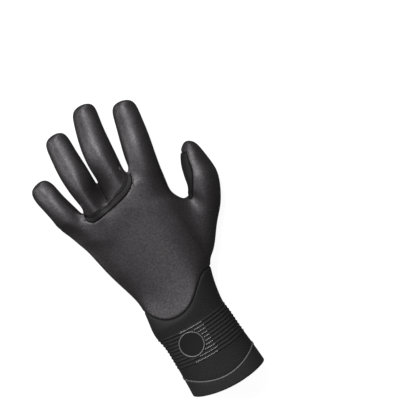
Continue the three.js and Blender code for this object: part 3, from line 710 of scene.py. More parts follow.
# How many strips along each of its edges are darker
TAPE_EDGE_STRIPS = 4
back_tree = BVHTree.FromPolygons(hand_at.tolist(), level_faces.tolist())
tape_shares = np.array([share for share, _ in TAPE_SECTION])
tape_plan = lerp(rounded(TAPE_LOWER, TAPE_STEPS)[:, None], rounded(TAPE_UPPER, TAPE_STEPS)[:, None],
                 tape_shares[:, None])
tape_start = at_height(tape_plan.reshape(-1, 2), RAY_HEIGHT)
tape_at, tape_out, _ = cast(back_tree, level_faces, tape_start, DOWN)
tape_at = tape_at.reshape(TAPE_STEPS, -1, 3)
tape_out = tape_out.reshape(TAPE_STEPS, -1, 3)

# Grooves at the seams and beside the tape
SEAM_DEPTH = 0.95
SEAM_HALF = 1.0
TAPE_EDGE_DEPTH = 0.6
TAPE_EDGE_HALF = 0.8


def groove(depth, distance, half):
    return depth * np.exp(-((distance / half) ** 2))


seam_distance = distance_to(hand_at[np.unique(seam_edges())])
tape_distance = distance_to(np.concatenate([tape_at[:, 0], tape_at[:, -1]]))
dip = np.maximum(groove(SEAM_DEPTH, seam_distance, SEAM_HALF),
                 groove(TAPE_EDGE_DEPTH, tape_distance, TAPE_EDGE_HALF))
skin_at = hand_at - hand_normals * dip[:, None]

# Objects


def make_object(name, verts, faces, materials, face_material=None, smooth=True):
    mesh = bpy.data.meshes.new(name)
    mesh.from_pydata((np.asarray(verts) * MM).tolist(), [], [list(map(int, f)) for f in faces])
    for material in materials:
        mesh.materials.append(material)
    if face_material is not None:
        mesh.polygons.foreach_set("material_index", np.asarray(face_material, dtype=np.int32))
    mesh.polygons.foreach_set("use_smooth", np.full(len(mesh.polygons), smooth))
    mesh.validate()
    mesh.update()
    obj = bpy.data.objects.new(name, mesh)
    bpy.context.scene.collection.objects.link(obj)
    return obj


def dress(obj, slot, *nodes):
    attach(obj, "root")
    if nodes:
        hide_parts(*nodes)
    return obj


# Materials


# Scale of a wave texture whose bands are one millimetre apart
WAVE_SCALE = 314.159


class Nodes:
    """Short calls for a material's nodes."""

    def __init__(self, name):
        self.material = bpy.data.materials.new(name)
        self.material.use_nodes = True
        self.tree = self.material.node_tree
        self.shader = self.tree.nodes["Principled BSDF"]
        self.place = self.tree.nodes.new("ShaderNodeTexCoord").outputs["Object"]

    def feed(self, socket, value):
        """Link a node's output to an input, or set the input to a plain value."""
        if isinstance(value, bpy.types.NodeSocket):
            self.tree.links.new(value, socket)
        else:
            socket.default_value = value

    def add(self, kind, inputs=(), **settings):
        node = self.tree.nodes.new("ShaderNode" + kind)
        for key, value in settings.items():
            setattr(node, key, value)
        for key, value in dict(inputs).items():
            self.feed(node.inputs[key], value)
        return node

    def texture(self, kind, scale, inputs=(), **settings):
        return self.add("Tex" + kind, {"Vector": self.place, "Scale": scale, **dict(inputs)}, **settings)

    def noise(self, size_mm, detail, roughness=0.5):
        inputs = {"Detail": detail, "Roughness": roughness}
        return self.texture("Noise", 1000.0 / size_mm, inputs).outputs["Fac"]

    def cells(self, size_mm):
        return self.texture("Voronoi", 1000.0 / size_mm).outputs["Distance"]

    def wave(self, period_mm, direction, distortion):
        inputs = {"Distortion": distortion}
        node = self.texture("Wave", WAVE_SCALE / period_mm, inputs, bands_direction=direction)
        return node.outputs["Fac"]

    def math(self, operation, a, b):
        return self.add("Math", {0: a, 1: b}, operation=operation).outputs[0]

    def spread(self, value, low, high, to_low=0.0, to_high=1.0):
        inputs = {"Value": value, "From Min": low, "From Max": high, "To Min": to_low, "To Max": to_high}
        return self.add("MapRange", inputs, interpolation_type="SMOOTHSTEP").outputs["Result"]

    def mix(self, factor, a, b):
        return self.add("Mix", {0: factor, 6: a, 7: b}, data_type="RGBA").outputs[2]

    def bump(self, height, distance_mm, strength, normal=None):
        inputs = {"Height": height, "Distance": distance_mm * MM, "Strength": strength}
        if normal is not None:
            inputs["Normal"] = normal
        return self.add("Bump", inputs).outputs["Normal"]

    def out(self, **inputs):
        for key, value in inputs.items():
            self.feed(self.shader.inputs[key.replace("_", " ")], value)
        return self.material


def grey(value, tint):
    return (*(value * part for part in tint), 1.0)


PLAIN = (1.0, 1.0, 1.0)
WARM = (1.06, 0.98, 1.02)
COOL = (0.98, 0.98, 1.06)
SPECULAR_TINT = (1.02, 0.96, 1.01)


def neoprene_skin(name, value, tint):
    n = Nodes(name)
    broad = n.noise(22.0, 3.0)
    fine = n.noise(0.9, 2.0)
    tone = n.math("ADD", n.math("MULTIPLY", broad, 0.45), n.math("MULTIPLY", fine, 0.55))
    colour = n.mix(n.spread(tone, 0.3, 0.7), grey(value * 0.82, tint), grey(value * 1.18, tint))
    mesh = n.cells(0.75)
    weave = n.wave(0.9, "Y", 1.5)
    normal = n.bump(mesh, 0.07, 0.8, n.bump(weave, 0.03, 0.8, n.bump(broad, 0.25, 0.5)))
    rough = n.spread(tone, 0.2, 0.8, 0.42, 0.50)
    grain = n.spread(n.noise(1.7, 3.0, 0.6), 0.3, 0.7, 0.36, 0.64)
    return n.out(Base_Color=colour, Roughness=rough, Normal=normal, Specular_IOR_Level=grain,
                 Specular_Tint=grey(1.0, SPECULAR_TINT))


def knit(name, value, tint, rough, sheen, period=1.1, shine=0.3):
    n = Nodes(name)
    broad = n.noise(15.0, 3.0)
    fine = n.noise(0.7, 2.0)
    rows = n.wave(period, "Y", 2.0)
    wales = n.wave(period, "DIAGONAL", 2.0)
    loops = n.math("MULTIPLY", rows, wales)
    tone = n.math("ADD", n.math("MULTIPLY", fine, 0.6), n.math("MULTIPLY", loops, 0.4))
    colour = n.mix(n.spread(tone, 0.2, 0.75), grey(value * 0.7, tint), grey(value * 1.35, tint))
    normal = n.bump(loops, 0.16, 0.8, n.bump(fine, 0.08, 0.6, n.bump(broad, 0.6, 0.4)))
    return n.out(Base_Color=colour, Normal=normal, Roughness=rough, Sheen_Weight=sheen,
                 Sheen_Roughness=0.4, Specular_IOR_Level=shine)


def rubber_print(name, value, tint, rough, shine=0.5):
    n = Nodes(name)
    fine = n.noise(0.6, 2.0)
    colour = n.mix(n.spread(fine, 0.3, 0.7), grey(value * 0.8, tint), grey(value * 1.2, tint))
    normal = n.bump(fine, 0.04, 0.6)
    uneven = n.spread(fine, 0.3, 0.7, rough - 0.05, rough + 0.05)
    return n.out(Base_Color=colour, Roughness=uneven, Normal=normal, Specular_IOR_Level=shine)


back_neoprene = neoprene_skin("back_neoprene", 0.010, WARM)
finger_neoprene = neoprene_skin("finger_neoprene", 0.010, WARM)
seam_tape = rubber_print("seam_tape", 0.008, WARM, 0.55, 0.16)
palm_grip = knit("palm_grip", 0.008, COOL, 0.65, 0.01, shine=0.15)
cuff_knit = knit("cuff_knit", 0.008, PLAIN, 0.7, 0.02, shine=0.28)
hem_knit = knit("hem_knit", 0.012, WARM, 0.7, 0.03)
hem_tape_material = rubber_print("hem_tape", 0.065, PLAIN, 0.45)
lining_knit = knit("lining_knit", 0.030, COOL, 0.85, 0.3, 1.6)
badge_print = rubber_print("badge_print", 0.005, PLAIN, 0.6, 0.2)
light_print = rubber_print("light_print", 0.30, PLAIN, 0.45)
ring_print = rubber_print("ring_print", 0.11, PLAIN, 0.45)
dark_print = rubber_print("dark_print", 0.022, COOL, 0.38)
grip_print = rubber_print("grip_print", 0.20, COOL, 0.35)
# Dark material of the knuckle tape's edges, also used for the painted shade strip in the finger crease
tape_edge_and_crease_shade = rubber_print("tape_edge_and_crease_shade", 0.004, WARM, 0.6, 0.08)

# Panels of the hand, each with a short skirt down from its edge

PANEL_GAP = 0.13
SKIRT_DEPTHS = (0.7, WALL - 0.6)


def outline_of(faces):
    """Directed edges of a set of quads that no other quad of the set shares."""
    a, b = faces.ravel(), np.roll(faces, -1, 1).ravel()
    size = int(faces.max()) + 1
    lone = ~np.isin(a * size + b, b * size + a)
    return list(zip(a[lone].tolist(), b[lone].tolist()))


def panel(label, material, slot):
    faces = level_faces[labels == label]
    open_edges = outline_of(faces)
    used, compact = np.unique(faces, return_inverse=True)
    compact = compact.reshape(-1, 4)
    place = {int(v): k for k, v in enumerate(used)}
    verts = skin_at[used].copy()
    inward = np.zeros((len(used), 3))
    for a, b in open_edges:
        away = np.cross(hand_normals[a], hand_at[b] - hand_at[a]) * (seam_distance[[a, b]].max() < 0.01)
        inward[place[a]] += away
        inward[place[b]] += away
    edge = np.linalg.norm(inward, axis=1) > 0
    verts[edge] += unit(inward[edge]) * PANEL_GAP
    extra, skirts = [], []
    rows = {}
    for a, b in open_edges:
        for v in (a, b):
            if v not in rows:
                k = place[v]
                rows[v] = [k]
                for depth in SKIRT_DEPTHS:
                    extra.append(verts[k] - hand_normals[v] * depth)
                    rows[v].append(len(used) + len(extra) - 1)
        for step in range(len(SKIRT_DEPTHS)):
            skirts.append([rows[a][step], rows[a][step + 1], rows[b][step + 1], rows[b][step]])
    all_verts = np.concatenate([verts, np.array(extra)])
    obj = make_object(LABELS[label], all_verts, [*compact.tolist(), *skirts], [material])
    return dress(obj, slot, LABELS[label])


panel(BACK, back_neoprene, "back_neoprene")
panel(FINGER_BACKS, finger_neoprene, "finger_neoprene")
panel(PALM, palm_grip, "palm_grip")


def knuckle_tape():
    rise = np.tile([up for _, up in TAPE_SECTION], (TAPE_STEPS, 1))
    rise[[0, -1]] = TAPE_SECTION[0][1]
    verts = (tape_at + tape_out * rise[..., None]).reshape(-1, 3)
    faces = grid_quads(np.arange(len(verts)).reshape(TAPE_STEPS, -1))[..., ::-1]
    kinds = np.zeros(faces.shape[:2], int)
    kinds[:, :TAPE_EDGE_STRIPS] = 1
    kinds[:, -TAPE_EDGE_STRIPS:] = 1
    obj = make_object("knuckle_tape", verts, faces.reshape(-1, 4), [seam_tape, tape_edge_and_crease_shade], kinds.ravel())
    return dress(obj, "seam_tape", "knuckle_tape")


knuckle_tape()

# Lining: the inside of the hand's wall

LINING_GAP = 0.1
SOFTENING_PASSES = 4


def softened(normals, faces):
    """Directions that turn more gently from vertex to vertex."""
    ends, _, _ = edge_table(faces, len(normals))
    count = np.bincount(ends.ravel(), minlength=len(normals))[:, None]
    for _ in range(SOFTENING_PASSES):
        normals = unit(normals + neighbour_sum(normals, ends) / np.maximum(count, 1))
    return normals


def lining():
    at, faces, where = coarse
    at, faces = refine(at, faces)
    at = laid_down(at, faces)
    inner = at - softened(vertex_normals(at, faces), faces) * (WALL + LINING_GAP)
    keep = faces[np.repeat(where, 4) != CUFF][:, ::-1]
    used, compact = np.unique(keep, return_inverse=True)
    obj = make_object("lining", inner[used], compact.reshape(-1, 4), [lining_knit])
    return dress(obj, "palm_grip")


lining()

# Smooth cuff, the same surface as in the CAD model

cuff_cage = np.array([[cage[v] for v in row] for row in [palm_ids[1], palm_ids[0], *cuff_ids]])
HALVINGS = 24
SMALL_STEP = 0.02


def basis(t):
    return np.stack([(1 - t) ** 3, 3 * t**3 - 6 * t**2 + 4, -3 * t**3 + 3 * t**2 + 3 * t + 1, t**3]) / 6


def cuff_surface(column, down):
    column, down = np.broadcast_arrays(np.asarray(column, float), np.asarray(down, float))
    row = np.minimum(np.floor(down).astype(int), len(CUFF_ROWS) - 2)
    first = np.floor(column).astype(int)
    bu, bv = basis(column - first), basis(down - row)
    out = np.zeros(column.shape + (3,))
    for i in range(4):
        for j in range(4):
            out += cuff_cage[row + i, (first + j - 1) % COLUMNS] * (bv[i] * bu[j])[..., None]
    return out


def bisect(low, high, goes_on):
    """Where goes_on(value) turns false between two limits, for whole arrays at once."""
    for _ in range(HALVINGS):
        middle = (low + high) / 2
        further = goes_on(middle)
        low = np.where(further, middle, low)
        high = np.where(further, high, middle)
    return low


def cuff_at(column, y):
    """How far down the cuff's rows a place y lies, in a column."""
    column, y = np.broadcast_arrays(np.asarray(column, float), np.asarray(y, float))

    def above(down):
        return cuff_surface(column, down)[..., 1] > y

    return bisect(np.zeros(column.shape), np.full(column.shape, len(CUFF_ROWS) - 1.001), above)


def column_at(x, y, top=True):
    """Columns of the cuff at places in plan, on its back or on its palm side."""
    x, y = np.broadcast_arrays(np.asarray(x, float), np.asarray(y, float))

    def before(column):
        left = cuff_surface(column, cuff_at(column, y))[..., 0] < x
        return left if top else ~left

    first, last = (0.2, TOP - 1.2) if top else (TOP + 1.2, COLUMNS - 1.2)
    return bisect(np.full(x.shape, first), np.full(x.shape, last), before)


def cuff_normal(column, down):
    around = cuff_surface(column + SMALL_STEP, down) - cuff_surface(column - SMALL_STEP, down)
    above = cuff_surface(column, np.maximum(0, down - SMALL_STEP))
    return unit(np.cross(around, above - cuff_surface(column, down + SMALL_STEP)))


def turn_of(column):
    """Angle of a column round the cuff: 0 at the left side and pi at the right side."""
    return np.pi * (column + 1) / (TOP + 1)


def facing(column):
    """1 in the middle of the back and of the palm side, and 0 at the sides."""
    return np.sin(turn_of(column)) ** 2


def hem_y(column):
    across = (1 - np.cos(turn_of(column))) / 2
    return cuff_y(lerp(*HEM_SIDES, across) + HEM_BULGE * facing(column))


def hem_seam_y(column):
    return hem_y(column) + lerp(HEM_DEPTH, HEM_SEAM_DIP * HEM_DEPTH, facing(column))


def rib_y(column, along):
    return cuff_y(RIB_START) - along * RIB_PITCH + RIB_BOW * (1 - facing(column)) * CUFF_LENGTH


AROUND = 416
ring_columns = np.arange(AROUND) * COLUMNS / AROUND
# How far the cuff keeps from the panels and from the hem band, and the height of its ribs
CUFF_GAP = 0.12
HEM_GAP = 0.1
RIB_HEIGHT = 0.55
RIB_SHARE = 0.64


def sleeve(rows):
    """Closed loops round the cuff: rows are (y for each column, how far out)."""
    verts = []
    for y, rise in rows:
        down = cuff_at(ring_columns, y)
        verts.append(cuff_surface(ring_columns, down) + cuff_normal(ring_columns, down) * rise)
    faces = []
    steps = np.arange(AROUND)
    for k in range(len(rows) - 1):
        a, b = k * AROUND + steps, k * AROUND + (steps + 1) % AROUND
        faces.append(np.stack([a, a + AROUND, b + AROUND, b], 1))
    return np.concatenate(verts), np.concatenate(faces)


def level_rows(start, end, shares, rise=0.0):
    """Rows of a sleeve at one height, between two places along the cuff."""
    return [(lerp(start, end, share), rise) for share in shares]


def cuff():
    start = cuff_surface(ring_columns, np.zeros(AROUND))[:, 1]
    end = hem_seam_y(ring_columns)
    rows = [(start - CUFF_GAP, -2.4), (start - CUFF_GAP, -1.2)]
    past_seam = (CUFF_GAP, 0.5, 0.9, 1.3, 1.8, 2.6)
    for distance in past_seam:
        rows.append((start - distance, -groove(SEAM_DEPTH, distance, SEAM_HALF)))
    first = rib_y(ring_columns, 0)
    rows += level_rows(start - past_seam[-1], first, (0.2, 0.35, 0.5, 0.65, 0.8, 0.92))
    for k in range(RIB_COUNT):
        for phase in (0.0, 0.18, 0.26, 0.34, 0.42, 0.5, 0.58, 0.66, 0.74, 0.82):
            crest = max(0.0, math.cos(math.pi * (phase - 0.5) / RIB_SHARE)) ** 1.2
            rows.append((rib_y(ring_columns, k + phase), RIB_HEIGHT * crest))
    last, lower = rib_y(ring_columns, RIB_COUNT), end + HEM_GAP
    rows += level_rows(last, lower, (0.0, 0.2, 0.4, 0.6, 0.8, 0.93))
    rows += [(lower, -0.25), (lower, -1.2), (lower, -WALL)]
    lined_from = (len(rows) - 1) * AROUND
    rows += level_rows(start, end, (0.8, 0.6, 0.4, 0.2, 0.0), -WALL)
    verts, faces = sleeve(rows)
    kinds = np.arange(len(faces)) >= lined_from
    obj = make_object("cuff", verts, faces, [cuff_knit, lining_knit], kinds)
    return dress(obj, "cuff_knit", "cuff")


def hem_band():
    start, end = hem_seam_y(ring_columns) - HEM_GAP, hem_y(ring_columns)
    half = WALL / 2
    rows = [(start, -1.6), (start, -0.3)]
    rows += level_rows(start, end, (0.12, 0.3, 0.5, 0.7, 0.85))
    for turn in np.radians(np.arange(0.0, 181.0, 22.5)):
        rows.append((end + half - half * math.sin(turn), -half + half * math.cos(turn)))
    lined_from = (len(rows) - 3) * AROUND
    rows += level_rows(start, end, (0.7, 0.4, 0.0), -WALL)
    verts, faces = sleeve(rows)
    kinds = np.arange(len(faces)) >= lined_from
    obj = make_object("hem_band", verts, faces, [hem_knit, lining_knit], kinds)
    return dress(obj, "hem_knit", "hem_band")


# Half the width of the hem tape on the back and on the palm side, and its section: across, up
HEM_TAPE_HALF = (0.85, 2.3)
HEM_TAPE_SECTION = [
    (1.0, -0.15), (0.96, 0.25), (0.75, 0.5), (0.4, 0.6), (0.0, 0.62),
    (-0.4, 0.6), (-0.75, 0.5), (-0.96, 0.25), (-1.0, -0.15),
]


def hem_tape():
    palm_side = 1 / (1 + np.exp(np.sin(turn_of(ring_columns)) * 7))
    half = lerp(*HEM_TAPE_HALF, palm_side)
    middle = hem_seam_y(ring_columns)
    verts, faces = sleeve([(middle + share * half, rise) for share, rise in HEM_TAPE_SECTION])
    obj = make_object("hem_tape", verts, faces, [hem_tape_material])
    return dress(obj, "hem_tape", "hem_tape")


cuff()
hem_band()
hem_tape()


# Section of the badge from its middle out, and which of its rings make up the rim
BADGE_SECTION = [
    (0.0, 0.78), (0.3, 0.78), (0.6, 0.78), (0.85, 0.78), (0.915, 0.78), (0.925, 0.98),
    (0.95, 1.04), (0.98, 0.98), (0.995, 0.75), (1.0, 0.3), (1.0, -0.2),
]
BADGE_RIM = range(3, 7)
BADGE_SIDES = 96


def badge():
    sides = BADGE_SIDES
    turn = 2 * np.pi * np.arange(sides) / sides
    verts = []
    for r, rise in BADGE_SECTION:
        n = 1 if r == 0 else sides
        x = BADGE_AT[0] * HAND_WIDTH + r * BADGE_RADIUS * np.cos(turn[:n])
        y = cuff_y(BADGE_AT[1]) + r * BADGE_RADIUS * np.sin(turn[:n])
        column = column_at(x, y)
        down = cuff_at(column, y)
        verts.append(cuff_surface(column, down) + cuff_normal(column, down) * rise)
    faces = [[0, 1 + k, 1 + (k + 1) % sides] for k in range(sides)]
    kinds = [0] * sides
    for ring in range(len(BADGE_SECTION) - 2):
        a = 1 + ring * sides
        for k in range(sides):
            b = (k + 1) % sides
            faces.append([a + k, a + sides + k, a + sides + b, a + b])
            kinds.append(int(ring in BADGE_RIM))
    obj = make_object("badge", np.concatenate(verts), faces, [badge_print, ring_print], kinds)
    return dress(obj, "badge_print", "badge")


badge()


# Raised print: strips that follow paths over a surface

STRIP_SECTION = ((-0.5, -0.12), (-0.38, 0.75), (0.0, 1.0), (0.38, 0.75), (0.5, -0.12))
STRIP_END_WIDTH = 0.7
STRIP_END_RISE = -0.05


class Strips:
    """Rounded strips that are joined into one object."""

    def __init__(self):
        self.verts, self.faces, self.count = [], [], 0

    def lay(self, at, normals, width, height):
        """One rounded strip along points of a surface, narrow and sunk at both ends."""
        side = unit(np.cross(normals, np.gradient(at, axis=0)))
        inner = np.ones((len(at), 1), bool)
        inner[[0, -1]] = False
        rows = []
        for across, up in STRIP_SECTION:
            shift = across * width * np.where(inner, 1, STRIP_END_WIDTH)
            rows.append(at + side * shift + normals * np.where(inner, up * height, STRIP_END_RISE))
        grid = np.stack(rows, 1)
        n, m = grid.shape[:2]
        self.verts.append(grid.reshape(-1, 3))
        self.faces.append(grid_quads(self.count + np.arange(n * m).reshape(n, m)).reshape(-1, 4))
        self.count += n * m

    def make(self, name, material, slot):
        obj = make_object(name, np.concatenate(self.verts), np.concatenate(self.faces), [material])
        return dress(obj, slot)


DASH = 1.5
DASH_GAP = 1.1


def dashes(path):
    path = np.asarray(path, float)
    lengths = lengths_along(path)
    starts = np.arange(0, lengths[-1] - DASH, DASH + DASH_GAP)
    return [places_along(path, lengths, np.linspace(start, start + DASH, 4)) for start in starts]


# Lines of slanting dashes printed along the crests of the cuff's ribs

CUFF_DASH_PITCH = 1.5
CUFF_DASH_SLOPE = 0.45
CUFF_DASH_LIFT = 0.42
CUFF_DASH_SIZE = (0.6, 0.2)
# Place along the cuff at which the columns of the ribs are looked up
CUFF_MIDDLE = 0.45
BADGE_CLEARANCE = 1.6
# Where lines that pass the badge start, from its centre, and where those on the back end
PAST_BADGE = -4.0
BACK_LINES_END = 3.5
PALM_LINES = (-5.0, 20.5)

cuff_lines = Strips()


def cuff_line_dashes(spans, top):
    """Spans are (from x, to x) on each rib."""
    rib, start = [], []
    for k, span in enumerate(spans):
        xs = np.arange(*span, CUFF_DASH_PITCH)
        rib += [k] * len(xs)
        start += xs.tolist()
    rib, start = np.array(rib)[:, None], np.array(start)[:, None]
    x = start + CUFF_DASH_PITCH * np.linspace(-0.5, 0.5, 4)
    crest = rib_y(column_at(x, cuff_y(CUFF_MIDDLE), top), rib + 0.5)
    y = crest + (x - start) * CUFF_DASH_SLOPE
    column = column_at(x, y, top)
    down = cuff_at(column, y)
    normals = cuff_normal(column, down)
    at = cuff_surface(column, down) + normals * CUFF_DASH_LIFT
    for k in range(len(at)):
        cuff_lines.lay(at[k], normals[k], *CUFF_DASH_SIZE)


def beside_badge(k):
    """Where a printed line starts on the thumb side of the badge."""
    y = cuff_y(RIB_START) - (k + 0.5) * RIB_PITCH - cuff_y(BADGE_AT[1])
    reach = (BADGE_RADIUS + BADGE_CLEARANCE) ** 2 - y**2
    return BADGE_AT[0] * HAND_WIDTH + (math.sqrt(reach) if reach > 0 else PAST_BADGE)


cuff_line_dashes([(beside_badge(k), BACK_LINES_END) for k in range(RIB_COUNT)], True)
cuff_line_dashes([PALM_LINES] * RIB_COUNT, False)
cuff_lines.make("cuff_lines", light_print, "badge_print")

# Painted shade: a thin dark strip laid in the crease between the ring and the middle finger, where it stands
# in for the shade deep in the crease

CREASE_SHADE_PATH = [(-17.2, 96.0), (-17.3, 88.0), (-17.4, 76.0)]
CREASE_SHADE_SIZE = (1.3, 0.35)


def crease_shade_strip():
    start = at_height(rounded(CREASE_SHADE_PATH, 40, 4), RAY_HEIGHT)
    at, _, met = cast(back_tree, level_faces, start, DOWN)
    line = Strips()
    line.lay(at[met], np.tile(UP, (met.sum(), 1)), *CREASE_SHADE_SIZE)
    return line.make("crease_shade_strip", tape_edge_and_crease_shade, "seam_tape")


crease_shade_strip()

# Raised grip print of the palm side, in plan

GRIP_LINES = [
    [(-30, 58), (-30.5, 20), (-30, -10)],
    [(-5.5, 63), (-7.5, 5), (-6, -8), (-3, -20)],
    [(19, 64), (20, 35), (21, 10), (24, -12)],
]
GRIP_DASHES = [
    [(-25.5, 56), (-25.5, -12), (-21, -22), (-20, -30), (-10, -32)],
    [(-25, 56.5), (-6, 63)],
    [(-1, 62), (-2, 0), (0, -12), (5, -28), (15, -28), (28, -17)],
    [(0, 65), (8, 66.5), (19, 65)],
    [(24, 64), (25, 35), (26, 20), (31, -12)],
    [(24, 64), (42, 54), (42, 30), (47, 10), (48, 0)],
]
GRIP_FIELDS = [
    [(-24.3, 55.5), (-7.2, 61.3), (-9.2, 5), (-7, -9), (-5, -20), (-10, -30.8), (-18.8, -28.8),
     (-19.8, -21.5), (-24.3, -11)],
    [(0.2, 61), (0.6, 63.8), (8, 65.2), (17.7, 63.6), (18.6, 35), (19.6, 10), (22.6, -12), (24, -17),
     (15, -26.6), (6, -26.6), (1.2, -12), (-0.8, 0)],
    [(25.4, 61.8), (40.8, 53.2), (40.8, 30), (45.7, 10), (46.6, -2), (32.4, -12), (27.4, 20), (26.3, 35)],
]
# Print on the fingers: distance of the arc, the bars and the end from the tip, and half the width
GRIP_FINGERS = [
    (10, (28, 50), 62, 5.4),
    (10.5, (38, 61), 90, 6.2),
    (8.5, (37, 65.5), 97, 6.6),
    (12, (33, 62), 86, 6.4),
]
GRIP_THUMB = (9, (25, 43), 58, 6.4)
GRIP_THUMB_TURN = math.radians(38.0)
BAR_GAP = 4.7
# Slant of the fine ribs, in degrees
PALM_SLANT = 52.0
FINGER_SLANT = 145.0
THUMB_SLANT = 58.0
HATCH_PITCH = 2.0
HATCH_STEP = 1.2
# Width and height of the raised lines, the dashes and the fine ribs
PALM_LINE, PALM_DASH, PALM_RIB = (1.1, 0.4), (0.8, 0.3), (0.85, 0.25)
DIGIT_LINE, DIGIT_DASH, DIGIT_RIB = (0.9, 0.35), (0.75, 0.3), (0.8, 0.25)
# Rays up to the palm start this far below
RAY_DEPTH = 60.0

grip_lines, grip_ribs = Strips(), Strips()
palm_faces = level_faces[labels == PALM]
palm_tree = BVHTree.FromPolygons(skin_at.tolist(), palm_faces.tolist())


def runs(keep):
    """Index ranges of the unbroken stretches of three or more true values."""
    ends = np.flatnonzero(np.diff(np.concatenate([[0], np.asarray(keep, int), [0]])))
    return [np.arange(a, b) for a, b in zip(ends[::2], ends[1::2]) if b - a > 2]


def print_on(strips, paths, size, towards=UP):
    """Lay raised lines where paths, moved along a direction, meet the palm panel."""
    away = np.array(towards) * RAY_DEPTH
    for path in paths:
        at, outward, met = cast(palm_tree, palm_faces, path - away, towards)
        for run in runs(met):
            strips.lay(at[run], outward[run], *size)


def inside(polygon, at):
    """Which points lie in a polygon: those with an odd number of its edges to their right."""
    p = np.array(polygon, float)
    q = np.roll(p, -1, 0)
    x, y = at[:, :1], at[:, 1:]
    rise = np.where(q[:, 1] == p[:, 1], 1e-9, q[:, 1] - p[:, 1])
    crosses = ((p[:, 1] > y) != (q[:, 1] > y)) & (x < (q[:, 0] - p[:, 0]) * (y - p[:, 1]) / rise + p[:, 0])
    return crosses.sum(1) % 2 == 1


def hatch(polygon, angle):
    """Slanting lines that fill a polygon."""
    corners = np.array(polygon, float)
    middle, reach = corners.mean(0), np.ptp(corners, 0).max()
    turn = math.radians(angle)
    along = np.array([math.cos(turn), math.sin(turn)])
    beside = np.array([-math.sin(turn), math.cos(turn)])
    steps = np.arange(-reach, reach, HATCH_STEP)[:, None] * along
    lines = [middle + beside * offset + steps for offset in np.arange(-reach, reach, HATCH_PITCH)]
    return [line[run] for line in lines for run in runs(inside(polygon, line))]


def digit_print(place, arc, bars, end, half, angle, towards=UP):
    """Print of a finger or the thumb; place turns (across, distance from the tip) into points."""

    def lay(strips, paths, size):
        print_on(strips, [place(path) for path in paths], size, towards)

    def bar_across(distance):
        return resample([(-half, distance), (half, distance)], 12)

    bend = np.linspace(0, math.pi, 16)
    arch = np.stack([half * np.cos(bend), arc + half - half * np.sin(bend)], 1)
    lay(grip_lines, [arch], DIGIT_LINE)
    stops = [arc + half, *[bar + step for bar in bars for step in (0, BAR_GAP)], end]
    for low, high in zip(stops[::2], stops[1::2]):
        for side in (-half, half):
            lay(grip_lines, dashes([(side, low), (side, high)]), DIGIT_DASH)
        top = low if low > stops[0] else arc + 2
        edge = half - 1.2
        field = [(-edge, top + 1.2), (edge, top + 1.2), (edge, high - 1), (-edge, high - 1)]
        lay(grip_ribs, hatch(field, angle), DIGIT_RIB)
    for bar in bars:
        lay(grip_lines, dashes([(-half, bar), (half, bar)]), DIGIT_DASH)
        lay(grip_lines, [bar_across(bar + BAR_GAP)], DIGIT_LINE)
    lay(grip_lines, [bar_across(end)], DIGIT_LINE)


def on_finger(f):
    _, tip, length, ahead, side = finger_frame(f)

    def place(path):
        path = np.asarray(path, float)
        bow = f["bow"] * FINGER_WIDTH * np.sin(np.pi * np.clip(1 - path[:, 1] / length, 0, 1))
        return at_height(tip - path[:, 1:] * ahead + (path[:, :1] + bow[:, None]) * side)

    return place


def on_thumb():
    axis = [(*plan(*THUMB_TIP[:2]), THUMB_TIP[2] * THUMB_DEPTH)]
    for inner_x, inner_y, outer_x, outer_y, depth, lift, _ in THUMB_RINGS[::-1]:
        middle = plan((inner_x + outer_x) / 2, (inner_y + outer_y) / 2)
        axis.append((*middle, (lift + depth / 2) * THUMB_DEPTH))
    axis = rounded(axis, 60, 8)
    lengths = lengths_along(axis)
    side = np.array([math.cos(GRIP_THUMB_TURN), 0.0, -math.sin(GRIP_THUMB_TURN)])

    def place(path):
        path = np.asarray(path, float)
        return places_along(axis, lengths, path[:, 1]) + path[:, :1] * side

    return place


for line in GRIP_LINES:
    print_on(grip_lines, [at_height(rounded(line, 90, 8))], PALM_LINE)
for line in GRIP_DASHES:
    print_on(grip_lines, map(at_height, dashes(line)), PALM_DASH)
for field in GRIP_FIELDS:
    print_on(grip_ribs, map(at_height, hatch(field, PALM_SLANT)), PALM_RIB)
for finger, sizes in zip(FINGERS, GRIP_FINGERS):
    digit_print(on_finger(finger), *sizes, FINGER_SLANT)
thumb_side = (math.sin(GRIP_THUMB_TURN), 0.0, math.cos(GRIP_THUMB_TURN))
digit_print(on_thumb(), *GRIP_THUMB, THUMB_SLANT, thumb_side)
grip_lines.make("grip_lines", grip_print, "palm_grip")
grip_ribs.make("grip_ribs", dark_print, "palm_grip")

# Floor, lights and camera

# The raised print on the palm side reaches a little below the plane that the glove lies on
FLOOR_Z = -0.5
FLOOR_HALF = 3000.0
FLOOR_GLOW = 0.94
WORLD_LIGHT = 0.14


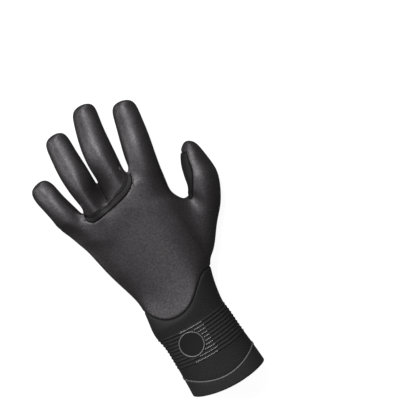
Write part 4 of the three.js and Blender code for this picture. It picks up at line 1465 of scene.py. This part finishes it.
def add_floor():
    n = Nodes("floor_white")
    tree = n.tree
    glow = n.add("Emission", {"Color": (1, 1, 1, 1), "Strength": FLOOR_GLOW})
    both = n.add("AddShader")
    tree.links.new(n.shader.outputs[0], both.inputs[0])
    tree.links.new(glow.outputs[0], both.inputs[1])
    tree.links.new(both.outputs[0], tree.nodes["Material Output"].inputs["Surface"])
    n.out(Base_Color=(0.15, 0.15, 0.15, 1), Roughness=0.9)
    corners = ((-1, -1), (1, -1), (1, 1), (-1, 1))
    verts = [(x * FLOOR_HALF, y * FLOOR_HALF, FLOOR_Z) for x, y in corners]
    obj = make_object("floor", verts, [(0, 1, 2, 3)], [n.material], smooth=False)
    obj.visible_glossy = False
    obj.visible_diffuse = False


# Square lamps round the glove: tilt from straight above, turn from +X, both in degrees, and watts
LAMPS = [(36, 90, 11.5), (54, 144, 3.4), (18, 180, 1.6), (72, 144, 2.2), (72, 72, 3.4)]
LAMP_SIZE = 340.0
LAMP_DISTANCE = 1100.0
LAMPS_FACE = Vector((0.0, 20.0, 10.0))


def add_lamp(tilt, turn, power):
    light = bpy.data.lights.new("lamp", "AREA")
    light.shape = "SQUARE"
    light.size = LAMP_SIZE * MM
    light.energy = power
    tilt, turn = math.radians(tilt), math.radians(turn)
    way = Vector((math.sin(tilt) * math.cos(turn), math.sin(tilt) * math.sin(turn), math.cos(tilt)))
    obj = bpy.data.objects.new("lamp", light)
    obj.location = (LAMPS_FACE + way * LAMP_DISTANCE) * MM
    obj.rotation_euler = (-way).to_track_quat("-Z", "Y").to_euler()
    bpy.context.scene.collection.objects.link(obj)


def add_camera():
    data = bpy.data.cameras.new("camera")
    data.sensor_width = 36.0
    data.lens = CAMERA_LENS
    data.clip_end = 20.0
    obj = bpy.data.objects.new("camera", data)
    obj.location = Vector(CAMERA_AT) * MM
    obj.rotation_euler = (0.0, 0.0, math.radians(CAMERA_TURN))
    bpy.context.scene.collection.objects.link(obj)
    bpy.context.scene.camera = obj


add_camera()
add_floor()
for lamp in LAMPS:
    add_lamp(*lamp)
world = bpy.data.worlds.new("studio")
world.use_nodes = True
background = world.node_tree.nodes["Background"]
background.inputs["Color"].default_value = (1, 1, 1, 1)
background.inputs["Strength"].default_value = WORLD_LIGHT
bpy.context.scene.world = world
bpy.context.scene.view_settings.view_transform = "Standard"
